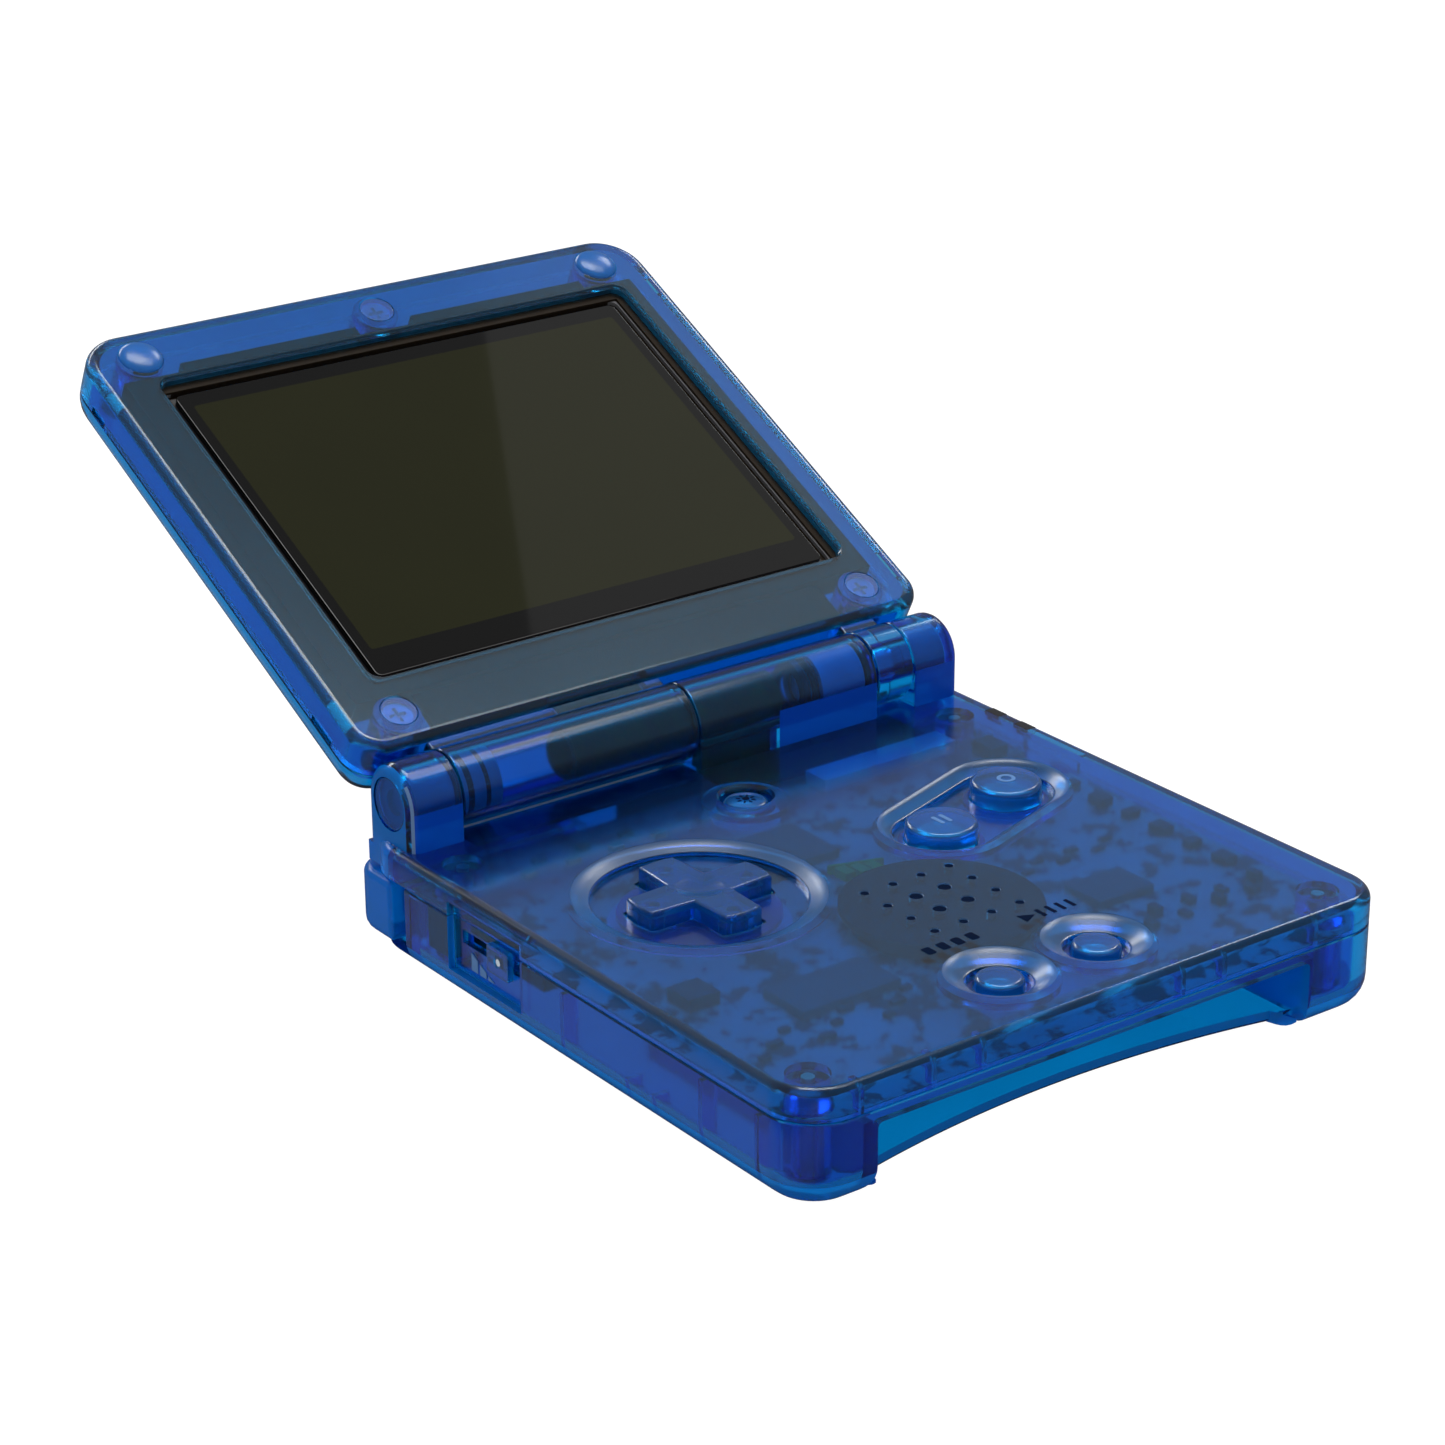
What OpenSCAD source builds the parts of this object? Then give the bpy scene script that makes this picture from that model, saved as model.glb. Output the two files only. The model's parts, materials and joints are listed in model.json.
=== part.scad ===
/* [Console] */
// Width of the base and of the lid
body_w = 82; // [81:0.5:84]
// Depth of the base, front edge to the back of the hinge
base_d = 82; // [81:0.5:84]
// Thickness of the base without the hinge
base_h = 13.8; // [13.8:0.1:14.2]
// Height of the parting line between the two base shells
parting_z = 10; // [10:0.1:10.2]
// Side wall thickness of every shell
wall = 1.6; // [1.4:0.1:1.8]
// Radius of the corners of the base, seen from above
base_corner_r = 6; // [5:0.5:7]

/* [Hinge and lid] */
// Radius of the hinge barrels
barrel_r = 4.7; // [4.5:0.1:4.8]
// Angle of the open lid above the horizontal
lid_tilt = 26.5; // [20:0.5:60]
// Distance from the hinge axis to the lower edge of the lid
lid_v0 = 4.9; // [4.9:0.1:5.5]
// Distance from the hinge axis to the upper edge of the lid
lid_v1 = 77.5; // [76:0.5:78]
// Height of the lid's inner face over the hinge axis
lid_face = 3.7; // [3.5:0.1:3.9]
// Height of the seam between the two lid shells over the hinge axis
lid_seam = -1.2; // [-1.6:0.1:-1]
// Height of the lid's outer face over the hinge axis
lid_back = -5.3; // [-6:0.1:-5]
// Width of the screen window
window_w = 69.1; // [66:0.5:70]
// Length of the screen window
window_l = 53.4; // [50:0.5:54]

/* [Buttons] */
// Centre of the direction pad
dpad_at = [-19.9, 4.6];
// Length of the direction pad's cross
cross_l = 16.5; // [16:0.5:17]
// Width of the arms of the cross
cross_w = 5.3; // [5:0.1:5.6]
// Centre of the right action button
a_at = [26.4, 7.1];
// Centre of the left action button
b_at = [12.9, 2.6];
// Centre of the screen light button
light_at = [0.1, 22.6];
// Centre of the start button
start_at = [7, -30.3];
// Centre of the select button
select_at = [-6.6, -30.3];
// Centre of the speaker
speaker_at = [0.3, -12.6];

/* [Cartridge slot] */
// Left side of the slot
slot_x0 = -31.5; // [-31.5:0.5:-30]
// Right side of the slot
slot_x1 = 28.6; // [28:0.2:29]
// Depth of the slot from the front edge
slot_d = 35.5; // [34:0.5:35.5]

/* [Hidden] */
$fn = 72;
shell_blue = [0.12, 0.32, 0.72, 0.75];
deep_blue = [0.08, 0.25, 0.62];
half_w = body_w / 2;
half_d = base_d / 2;
hinge_y = half_d - barrel_r;
hinge_z = base_h + barrel_r;
top_plate = 1.5;
floor_t = 1.5;
plate_under = base_h - top_plate;
run_gap = 0.3;
side_gap = 0.2;
fit_gap = 0.05;

// Hinge barrels along X: base knuckles and lid barrels take turns
knuckle_end = 39.8;
knuckle_in = 32.8;
mid_x0 = 0.4;
mid_x1 = 27;
knuckle_bore_r = 3.2;
barrel_bore_r = 3.5;
hinge_shaft_r = 1.5;

// Circuit board
board_z = 9;
board_t = 0.9;
board_top = board_z + board_t;
sheet_t = 0.12;
foot_z = 10.9;
flange_t = 0.5;

// Recesses in the top face: floor heights and the undersides of their plates
dish_r = 13.8;
dish_floor_r = 12.3;
dish_floor = 13.1;
dish_under = 12.1;
pit_under = 11.5;
action_floor = 12.7;
action_rim_r = 6.9;
action_floor_r = 5.7;
action_r = 4.2;
small_floor = 12.6;
small_rim_r = 5.6;
small_floor_r = 3.7;
small_r = 2.7;
light_floor = 12.9;
light_rim_r = 5.4;
light_floor_r = 3.6;
light_r = 2.65;
hole_gap = 0.25;
pit_wall = 1;
dpad_pivot_z = 10.3;
cross_flange_z = [10.83, 11.33];

// Side switches
volume_y = [8.7, 23];
volume_z = [3.6, 11.8];
volume_at = [13.2, 8];
power_y = [9.5, 19.5];
power_z = [4.6, 11];
power_at = [12.2, 8];
slider_gap = 0.15;
recess_t = 0.9;

// Shoulder buttons
shoulder_in = 17;
shoulder_y0 = 35;
shoulder_y1 = 43.2;
shoulder_z0 = 1.7;
shoulder_z1 = 9.6;
shoulder_pin_at = [19, 38.2];
shoulder_pin_r = 0.9;
shoulder_wall_y = 33.6;

// Battery compartment and door
door_x = 23.8;
door_y0 = -2.3;
door_y1 = 29.9;
door_t = 1.4;
battery_y0 = -0.3;
battery_y1 = 24.1;
door_screw_at = [0, 27.3];

// Screws of the base and of the lid
case_screw_at = [[-36, -35.3], [35, -35.3], [-35.8, 27.6], [35.8, 27.6]];
bumper_at = [[-33.8, 72.6], [33.8, 72.6]];
cover_at = [[0, 72.6], [-33.7, 9.6], [33.7, 9.6]];
lid_screw_at = concat(bumper_at, cover_at);
boss_r = 2.4;
lid_boss_r = 2.9;
bumper_r = 2.75;
cover_r = 2.2;

// Lid interior
lid_corner_far = 6;
lid_corner_near = 4;
lid_plate = 1.2;
window_at = [0.6, 41.7];
frame_inner = [68, 52.2];
frame_outer_x = 37.5;
frame_v = [12.7, 69.6];
lens_size = [65, 50];
lens_v = 41;
lens_top = 2.67;
lens_t = 0.8;

// A box between two corners
module block(low, high) {
    translate(low)
        cube(high - low);
}

// A rounded rectangle centred on the origin
module round_rect(w, d, r) {
    square([w - 2 * r, d], center = true);
    square([w, d - 2 * r], center = true);
    for (sx = [-1, 1], sy = [-1, 1])
        translate([sx * (w / 2 - r), sy * (d / 2 - r)])
            circle(r = r);
}

// A slab with rounded corners between two heights
module slab(w, d, r, z0, z1) {
    translate([0, 0, z0])
        linear_extrude(z1 - z0)
            round_rect(w, d, r);
}

// A cylinder on a point of the top face, between two heights
module post(at, r, z0, z1) {
    translate([at[0], at[1], z0])
        cylinder(r = r, h = z1 - z0);
}

// A cylinder along X about the hinge axis
module hinge_rod(x0, x1, r) {
    translate([x0, hinge_y, hinge_z])
        rotate([0, 90, 0])
            cylinder(r = r, h = x1 - x0);
}

// A base knuckle: half a barrel on upright walls
module knuckle(x0, x1) {
    translate([x0, 0, 0])
        rotate([90, 0, 90])
            linear_extrude(x1 - x0) {
                translate([hinge_y, hinge_z])
                    circle(r = barrel_r);
                translate([hinge_y - barrel_r, base_h - top_plate])
                    square([2 * barrel_r, hinge_z - base_h + top_plate]);
            }
}

// A tapered round recess that widens to the top face
module cone_pit(at, floor_z, r_floor, r_rim) {
    translate([at[0], at[1], floor_z])
        cylinder(r1 = r_floor, r2 = r_rim, h = base_h - floor_z);
    post(at, r_rim, base_h, base_h + 1);
}

// The outline of the two action buttons' recess
module action_outline(r) {
    reach = norm(a_at - b_at);
    translate(b_at)
        rotate(atan2(a_at[1] - b_at[1], a_at[0] - b_at[0])) {
            circle(r = r);
            translate([reach, 0])
                circle(r = r);
            translate([0, -r])
                square([reach, 2 * r]);
        }
}

module action_prism(r, z0, z1) {
    translate([0, 0, z0])
        linear_extrude(z1 - z0)
            action_outline(r);
}

// The cross of the direction pad with a gap all round
module cross_outline(gap) {
    square([cross_l + 2 * gap, cross_w + 2 * gap], center = true);
    square([cross_w + 2 * gap, cross_l + 2 * gap], center = true);
}

module at_dpad() {
    translate([dpad_at[0], dpad_at[1], 0])
        children();
}

// The plates under the recesses, which thicken the top plate
module recess_plates() {
    post(dpad_at, dish_r + pit_wall, dish_under, base_h);
    action_prism(action_rim_r + pit_wall, pit_under, base_h);
    post(start_at, small_rim_r + pit_wall, pit_under, base_h);
    post(select_at, small_rim_r + pit_wall, pit_under, base_h);
    post(light_at, light_rim_r + pit_wall, pit_under, base_h);
    for (at = case_screw_at)
        post(at, boss_r, parting_z, base_h);
}

module speaker_holes() {
    for (i = [-1.5:1.5], j = [-1.5:1.5])
        post(speaker_at + 4 * [i, j], abs(i) < 1 && abs(j) < 1 ? 0.75 : 0.5, plate_under - 1, base_h + 1);
}

module side_recesses() {
    block([-half_w - 1, volume_y[0], volume_z[0]], [-half_w + recess_t, volume_y[1], volume_z[1]]);
    block([half_w - recess_t, power_y[0], power_z[0]], [half_w + 1, power_y[1], power_z[1]]);
}

module base_top_shell() {
    color(shell_blue)
        difference() {
            union() {
                slab(body_w, base_d, base_corner_r, parting_z, base_h);
                block([-knuckle_end, half_d - base_corner_r, parting_z], [knuckle_end, half_d, base_h]);
                knuckle(-knuckle_end, -knuckle_in);
                knuckle(mid_x0, mid_x1);
                knuckle(knuckle_in, knuckle_end);
            }
            difference() {
                slab(body_w - 2 * wall, base_d - 2 * wall, base_corner_r - wall, parting_z - 1, plate_under);
                recess_plates();
            }
            for (at = case_screw_at)
                post(at, 0.75, parting_z - 1, plate_under - 0.3);
            // Direction pad dish and its cross-shaped hole
            cone_pit(dpad_at, dish_floor, dish_floor_r, dish_r);
            at_dpad()
                translate([0, 0, dish_under - 1])
                    linear_extrude(base_h)
                        cross_outline(run_gap);
            // Action button recess and holes
            action_prism(action_floor_r, action_floor, base_h + 1);
            action_prism(action_rim_r, base_h - 0.5, base_h + 1);
            for (at = [a_at, b_at])
                post(at, action_r + hole_gap, pit_under - 1, base_h);
            for (at = [start_at, select_at]) {
                cone_pit(at, small_floor, small_floor_r, small_rim_r);
                post(at, small_r + hole_gap, pit_under - 1, base_h);
            }
            cone_pit(light_at, light_floor, light_floor_r, light_rim_r);
            post(light_at, light_r + hole_gap, pit_under - 1, base_h);
            speaker_holes();
            side_recesses();
            // Grooves that clear the lid's barrels
            hinge_rod(-knuckle_in, mid_x0, barrel_r + run_gap);
            hinge_rod(mid_x1, knuckle_in, barrel_r + run_gap);
            // Bores of the knuckles and the way down for the ribbon
            hinge_rod(-knuckle_end - 1, -knuckle_in + 1, knuckle_bore_r);
            hinge_rod(knuckle_in - 1, knuckle_end + 1, knuckle_bore_r);
            hinge_rod(mid_x0 - 1, mid_x1 + 1, barrel_bore_r);
            block([1.4, 34, plate_under - 1], [12.6, 35.6, 15.6]);
            for (y = [19, 24.3])
                block([38.9, y - 1.3, plate_under - 1], [40.3, y + 1.3, base_h + 1]);
        }
}

// The finger cut-out in the front edge of the floor
module front_arch() {
    arch_r = 137;
    intersection() {
        block([slot_x0, -half_d - 1, -1], [slot_x1, -half_d + 10, floor_t + 1]);
        translate([(slot_x0 + slot_x1) / 2, -half_d + 7.2 - arch_r, -1])
            cylinder(r = arch_r, h = floor_t + 2, $fn = 360);
    }
}

module shoulder_bay(side) {
    mirror([side < 0 ? 1 : 0, 0, 0]) {
        block([shoulder_in - 0.4, shoulder_wall_y, 1.3], [half_w + 1, half_d + 1, parting_z + 1]);
        block([half_w - wall, 31.8, 1.3], [half_w + 1, half_d, parting_z + 1]);
    }
}

module base_bottom_shell() {
    color(shell_blue)
        difference() {
            slab(body_w, base_d, base_corner_r, 0, parting_z);
            // Interior, less its inner walls
            difference() {
                slab(body_w - 2 * wall, base_d - 2 * wall, base_corner_r - wall, floor_t, parting_z + 1);
                block([slot_x0 - 1.2, -half_d, 0], [slot_x0, -half_d + slot_d + 1, 8.4]);
                block([slot_x1, -half_d, 0], [slot_x1 + 1.2, -half_d + slot_d + 1, 8.4]);
                block([slot_x0, -half_d + slot_d, 0], [slot_x1, -half_d + slot_d + 1, 8.4]);
                difference() {
                    block([-door_x - 1.4, door_y0 - 0.9, 0], [door_x + 1.4, 25.6, 8.4]);
                    block([-22.6, -1.3, 0], [22.6, 24.4, 9]);
                }
                for (side = [-1, 1]) {
                    mirror([side < 0 ? 1 : 0, 0, 0]) {
                        block([15.4, shoulder_wall_y - 1.2, 0], [half_w - wall, shoulder_wall_y, parting_z]);
                        block([15.4, shoulder_wall_y - 1.2, 0], [shoulder_in - 0.4, half_d, parting_z]);
                        block([half_w - wall - 1.2, 30, 0], [half_w - wall, shoulder_wall_y, board_z - 0.1]);
                    }
                }
                post(door_screw_at, 2.2, 0, 6);
                for (at = case_screw_at)
                    post(at, boss_r, 0, board_z - 0.1);
            }
            // Mouth of the cartridge slot and the cut-out under it
            block([slot_x0, -half_d - 1, floor_t], [slot_x1, -half_d + wall + 1, 8.5]);
            front_arch();
            shoulder_bay(-1);
            shoulder_bay(1);
            // Battery door opening and the screw that holds the door
            block([-door_x - 0.2, door_y0 - 0.2, -1], [door_x + 0.2, door_y1 + 0.2, floor_t]);
            post(door_screw_at, 0.7, 0, 5);
            for (at = case_screw_at) {
                post(at, 2, -1, 2.4);
                post(at, 1.05, 0, parting_z);
            }
            side_recesses();
            block([-half_w, 10, volume_at[1] - 0.8], [-half_w + wall + 1, 21.3, volume_at[1] + 0.8]);
            block([half_w - wall - 1, 10.9, power_at[1] - 0.8], [half_w, 16.7, power_at[1] + 0.8]);
            // Sockets in the rear wall
            block([-6.5, half_d - wall - 1, 2.6], [6.5, half_d + 1, 8.2]);
            block([8.6, half_d - wall - 1, 2.8], [14.4, half_d + 1, 8]);
        }
}

module battery_door() {
    color(shell_blue)
        difference() {
            block([-door_x, door_y0, 0], [door_x, door_y1, door_t]);
            post(door_screw_at, 1.7, -1, 0.8);
            post(door_screw_at, 0.85, -1, door_t + 1);
            for (i = [-3:3])
                block([i * 2 - 0.4, 14, -1], [i * 2 + 0.4, 20, 0.4]);
        }
}

// A pan-head screw, head down, between two heights
module screw(at, head_r, shank_r, z0, z1) {
    head_t = 1.1;
    difference() {
        union() {
            post(at, head_r, z0, z0 + head_t);
            post(at, shank_r, z0 + head_t, z1);
        }
        translate([at[0], at[1], z0]) {
            cube([head_r * 1.2, 0.5, 1], center = true);
            cube([0.5, head_r * 1.2, 1], center = true);
        }
    }
}

module battery_door_screw() {
    color("silver")
        difference() {
            union() {
                post(door_screw_at, 1.6, 0.1, 0.75);
                post(door_screw_at, 0.65, 0.75, 4.8);
            }
            translate([door_screw_at[0], door_screw_at[1], 0.1]) {
                cube([2, 0.4, 0.6], center = true);
                cube([0.4, 2, 0.6], center = true);
            }
        }
}

module battery_pack() {
    color([0.25, 0.27, 0.3])
        block([-22.2, battery_y0, 1.6], [22.2, battery_y1, 8]);
}

module battery_contacts() {
    color("gold")
        for (x = [-8, -3, 3, 8])
            block([x - 1, -1.2, 2.5], [x + 1, -0.35, 7.5]);
}

// The board's outline, with its notches
module main_board() {
    color([0.05, 0.28, 0.2])
        difference() {
            slab(body_w - 2 * wall - 0.8, base_d - 2 * wall - 0.8, base_corner_r - wall, board_z, board_top);
            block([-half_w, 31.6, 0], [half_w, half_d, parting_z + 1]);
            post(speaker_at, 10.3, 0, parting_z + 1);
            for (at = case_screw_at)
                post(at, boss_r + 0.3, 0, parting_z + 1);
            block([-half_w, 9, 0], [-37.4, 22.3, parting_z + 1]);
            block([37.4, 10, 0], [half_w, 18, parting_z + 1]);
        }
}

module board_shield() {
    color("silver")
        block([slot_x0 + 1, -half_d + 3.4, 8.5], [slot_x1 - 1, -half_d + slot_d, 8.85]);
}

module chip(at, w, d, t) {
    block([at[0] - w / 2, at[1] - d / 2, board_top], [at[0] + w / 2, at[1] + d / 2, board_top + t]);
}

module main_processor() {
    color([0.12, 0.12, 0.13])
        chip([-2.5, 12], 9, 9, 1.1);
}

module memory_chip() {
    color([0.12, 0.12, 0.13])
        chip([-20, -19], 13, 7, 1.1);
}

module audio_chip() {
    color([0.12, 0.12, 0.13])
        chip([20, -18], 8, 6, 1);
}

// Capacitors, resistors and coils in rows on the free stretches of the board
module board_components() {
    color([0.55, 0.45, 0.3]) {
        for (i = [0:8])
            chip([-35 + i * 2.7, -27 + (i % 3) * 1.9], 1.2 + (i % 2) * 0.6, 0.8, 0.6);
        for (i = [0:8])
            chip([15 + i * 2.5, -25.5 - (i % 2) * 2.2], 1, 1.6, 0.6 + (i % 3) * 0.3);
        for (i = [0:6])
            chip([35.6, -20 + i * 5.2], 1.8, 2.4 - (i % 2), 1.1);
        for (i = [0:6])
            chip([-29 + i * 3, 24.5 + (i % 2) * 2.4], 1.6, 1, 0.7);
        for (i = [0:5])
            chip([16 + i * 2.6, -9 + (i % 2) * 1.7], 1.6, 0.8, 0.5);
        chip([-33, -12], 4, 4, 1.6);
        chip([35, 20], 2.6, 3.6, 1.6);
    }
}

module speaker() {
    color([0.2, 0.2, 0.22]) {
        post(speaker_at, 9.8, board_z, 10.9);
        post(speaker_at, 8.6, 10.9, 11.5);
    }
}

module speaker_gasket() {
    color([0.25, 0.27, 0.28])
        difference() {
            post(speaker_at, 11.4, 11.6, plate_under - 0.05);
            post(speaker_at, 8, 11, 11.9);
        }
}

module cartridge_connector() {
    color([0.1, 0.1, 0.11])
        difference() {
            block([-21.5, -12, 2.2], [18.6, -5.7, 8.3]);
            block([-20.3, -13, 3.6], [17.4, -7.2, 6.4]);
        }
}

module connector_pins() {
    color("gold")
        for (i = [0:30])
            block([-19.9 + i * 1.2, -11.6, 3.62], [-19.3 + i * 1.2, -7.4, 3.9]);
}

// A flat switch membrane with a low dome under each key
module dome_sheet(domes, r) {
    for (at = domes)
        post(at, r, board_top + sheet_t, board_top + sheet_t + 0.05);
}

module dpad_membrane() {
    color([0.75, 0.75, 0.75]) {
        post(dpad_at, 10.2, board_top, board_top + sheet_t);
        dome_sheet([for (a = [0:90:270]) dpad_at + 6 * [cos(a), sin(a)]], 1.5);
    }
}

module action_membrane() {
    color([0.75, 0.75, 0.75]) {
        action_prism(5, board_top, board_top + sheet_t);
        dome_sheet([a_at, b_at], 2.4);
    }
}

module start_select_membrane() {
    color([0.75, 0.75, 0.75]) {
        block([select_at[0] - 4, select_at[1] - 4, board_top], [start_at[0] + 4, start_at[1] + 4, board_top + sheet_t]);
        dome_sheet([start_at, select_at], 1.8);
    }
}

module light_membrane() {
    color([0.75, 0.75, 0.75]) {
        post(light_at, 4, board_top, board_top + sheet_t);
        dome_sheet([light_at], 1.8);
    }
}

module volume_pot() {
    color([0.3, 0.3, 0.32])
        difference() {
            block([-37.3, 8.2, 5.6], [-33.4, 23.4, board_z - 0.05]);
            block([-38, 9.8, 7.1], [-35.4, 21.6, board_z]);
        }
}

module power_switch() {
    color([0.3, 0.3, 0.32])
        difference() {
            block([33.4, 9.4, 5.6], [37.3, 18.6, board_z - 0.05]);
            block([35.4, 10.6, 7.1], [38, 17, board_z]);
        }
}

module mirrored_pair() {
    children();
    mirror([1, 0, 0])
        children();
}

module shoulder_pins() {
    color("silver")
        mirrored_pair()
            post(shoulder_pin_at, shoulder_pin_r, 1.3, parting_z);
}

module shoulder_springs() {
    color([0.7, 0.7, 0.72])
        mirrored_pair()
            for (i = [0:2])
                difference() {
                    post(shoulder_pin_at, 1.7, 8.05 + i * 0.5, 8.4 + i * 0.5);
                    post(shoulder_pin_at, 1, 8, 10);
                }
}

module shoulder_switches() {
    color([0.15, 0.15, 0.16])
        mirrored_pair() {
            block([31, shoulder_wall_y, 3.6], [36, shoulder_wall_y + 0.45, 7.6]);
            translate([33.5, shoulder_wall_y + 0.45, 5.6])
                rotate([-90, 0, 0])
                    cylinder(r = 0.8, h = 0.12);
        }
}

module link_port() {
    color([0.15, 0.15, 0.16])
        difference() {
            block([-6.3, 34, 2.8], [6.3, half_d - 0.2, 8]);
            block([-5.3, 36, 3.8], [5.3, half_d, 7.2]);
        }
}

module power_inlet() {
    color([0.15, 0.15, 0.16])
        difference() {
            block([8.8, 34, 3], [14.2, half_d - 0.2, 7.8]);
            block([9.7, 36, 3.9], [13.3, half_d, 6.9]);
        }
}

module indicator_windows() {
    color([0.1, 0.1, 0.12])
        for (y = [19, 24.3])
            block([38.95, y - 1.25, plate_under], [40.25, y + 1.25, base_h]);
}

module indicator_leds() {
    color([0.9, 0.9, 0.8])
        for (y = [19, 24.3])
            block([37.9, y - 0.6, board_top], [38.7, y + 0.6, board_top + 0.6]);
}

module case_screws() {
    color("silver")
        for (at = case_screw_at)
            screw(at, 1.85, 0.72, 0.3, 11.4);
}

module hinge_end_plugs() {
    color(deep_blue)
        mirrored_pair()
            hinge_rod(38.3, knuckle_end - 0.1, knuckle_bore_r - fit_gap);
}

// A sleeve about the hinge axis with a running bore for the shaft
module hinge_sleeve(x0, x1, r) {
    difference() {
        hinge_rod(x0, x1, r);
        hinge_rod(x0 - 1, x1 + 1, hinge_shaft_r + fit_gap);
    }
}

module hinge_click_unit() {
    color([0.8, 0.8, 0.82])
        hinge_sleeve(-38.2, -33.3, knuckle_bore_r - fit_gap);
}

module hinge_bush() {
    color([0.2, 0.2, 0.22])
        hinge_sleeve(33.3, 38.2, knuckle_bore_r - fit_gap);
}

module display_connector() {
    color([0.85, 0.85, 0.88])
        block([12, 22.8, board_top], [32, 26.6, 11.5]);
}

// A rolled flat cable about the hinge axis
module ribbon_roll(x0, x1) {
    difference() {
        hinge_rod(x0, x1, 3.1);
        hinge_rod(x0 - 1, x1 + 1, 2.3);
    }
}

module display_ribbon() {
    color([0.1, 0.25, 0.18]) {
        ribbon_roll(mid_x0 + 0.3, 13.2);
        block([2, 34.6, 10.9], [12, 34.9, 16.2]);
        block([2, 26.7, 10.9], [31, 34.9, 11.2]);
    }
}

// Everything in the lid is drawn flat and tilted about the hinge axis
module in_lid() {
    translate([0, hinge_y, hinge_z])
        rotate([lid_tilt, 0, 0])
            children();
}

// The lid's outline with an even inset
module lid_outline(inset) {
    w = half_w - inset;
    v0 = lid_v0 + inset;
    v1 = lid_v1 - inset;
    far = lid_corner_far - inset;
    near = lid_corner_near - inset;
    translate([-w, v0 + near])
        square([2 * w, v1 - v0 - far - near]);
    translate([-w + far, v1 - far - 1])
        square([2 * (w - far), far + 1]);
    translate([-w + near, v0])
        square([2 * (w - near), near + 1]);
    for (s = [-1, 1]) {
        translate([s * (w - far), v1 - far])
            circle(r = far);
        translate([s * (w - near), v0 + near])
            circle(r = near);
    }
}

module lid_slab(inset, z0, z1) {
    translate([0, 0, z0])
        linear_extrude(z1 - z0)
            lid_outline(inset);
}

module lid_barrel(x0, x1, r) {
    translate([x0, 0, 0])
        rotate([0, 90, 0])
            cylinder(r = r, h = x1 - x0);
}

module lid_front_shell() {
    left = [-knuckle_in + side_gap, mid_x0 - side_gap];
    right = [mid_x1 + side_gap, knuckle_in - side_gap];
    color(shell_blue)
        in_lid()
            difference() {
                union() {
                    lid_slab(0, lid_seam, lid_face);
                    for (x = [left, right]) {
                        lid_barrel(x[0], x[1], barrel_r);
                        block([x[0], 0, lid_seam], [x[1], lid_v0 + 1, 2.7]);
                    }
                }
                difference() {
                    lid_slab(wall, lid_seam - 1, lid_face - lid_plate);
                    for (at = lid_screw_at)
                        post(at, lid_boss_r, lid_seam - 1, lid_face);
                }
                for (at = lid_screw_at) {
                    post(at, 0.95, lid_seam - 1, lid_face);
                    post(at, 1.9, 1.4, lid_face);
                }
                for (at = bumper_at)
                    post(at, bumper_r + fit_gap, lid_face - 1, lid_face + 1);
                for (at = cover_at)
                    post(at, cover_r + fit_gap, lid_face - 1, lid_face + 1);
                translate([window_at[0], window_at[1], 0])
                    linear_extrude(lid_face + 1)
                        round_rect(window_w, window_l, 1.5);
                lid_barrel(left[0] - 1, left[1] + 1, barrel_bore_r);
                lid_barrel(right[0] - 1, right[1] + 1, hinge_shaft_r + fit_gap);
                block([-14.6, 0, 0], [-1.4, lid_v0 + wall + 1, 0.9]);
            }
}

module lid_back_shell() {
    color(shell_blue)
        in_lid()
            difference() {
                lid_slab(0, lid_back, lid_seam);
                difference() {
                    lid_slab(wall, lid_back + 1.3, lid_seam + 1);
                    for (at = lid_screw_at)
                        post(at, lid_boss_r, lid_back, lid_seam);
                }
                for (at = lid_screw_at)
                    post(at, 0.78, -4, lid_seam + 1);
            }
}

// A flat rectangular layer of the screen
module screen_layer(w, l, z0, z1) {
    block([-w / 2, lens_v - l / 2, z0], [w / 2, lens_v + l / 2, z1]);
}

module screen_lens() {
    color([0.15, 0.16, 0.12])
        in_lid()
            screen_layer(lens_size[0], lens_size[1], lens_top - lens_t, lens_top);
}

module lcd_panel() {
    color([0.2, 0.2, 0.15])
        in_lid()
            screen_layer(lens_size[0] + 0.8, lens_size[1] + 0.8, 0.5, 1.8);
}

module lcd_frame() {
    color([0.35, 0.36, 0.38])
        in_lid()
            difference() {
                block([-frame_outer_x, frame_v[0], -0.9], [frame_outer_x, frame_v[1], 2.35]);
                block([-frame_inner[0] / 2, lens_v - frame_inner[1] / 2, -2],
                    [frame_inner[0] / 2, lens_v + frame_inner[1] / 2, 4]);
            }
}

module light_guide() {
    color([0.9, 0.92, 0.95])
        in_lid()
            screen_layer(lens_size[0] + 0.8, lens_size[1] + 0.8, -0.9, 0.4);
}

module lid_board() {
    color([0.05, 0.28, 0.2])
        in_lid()
            block([-30, 7, 1], [29, 12.4, 1.8]);
}

module lid_screws() {
    color("silver")
        in_lid()
            for (at = lid_screw_at)
                translate([0, 0, 2.6])
                    mirror([0, 0, 1])
                        screw(at, 1.8, 0.72, 0, 6);
}

module screw_covers() {
    color(deep_blue)
        in_lid()
            for (at = cover_at)
                post(at, cover_r, lid_face - 0.95, lid_face);
}

// Domed pads that the closed lid rests on
module lid_bumpers() {
    dome_h = 0.8;
    dome_r = (bumper_r * bumper_r + dome_h * dome_h) / (2 * dome_h);
    color(deep_blue)
        in_lid()
            for (at = bumper_at) {
                post(at, bumper_r, lid_face - 0.95, lid_face);
                intersection() {
                    translate([at[0], at[1], lid_face + dome_h - dome_r])
                        sphere(r = dome_r);
                    post(at, bumper_r, lid_face, lid_face + 2);
                }
            }
}

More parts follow.
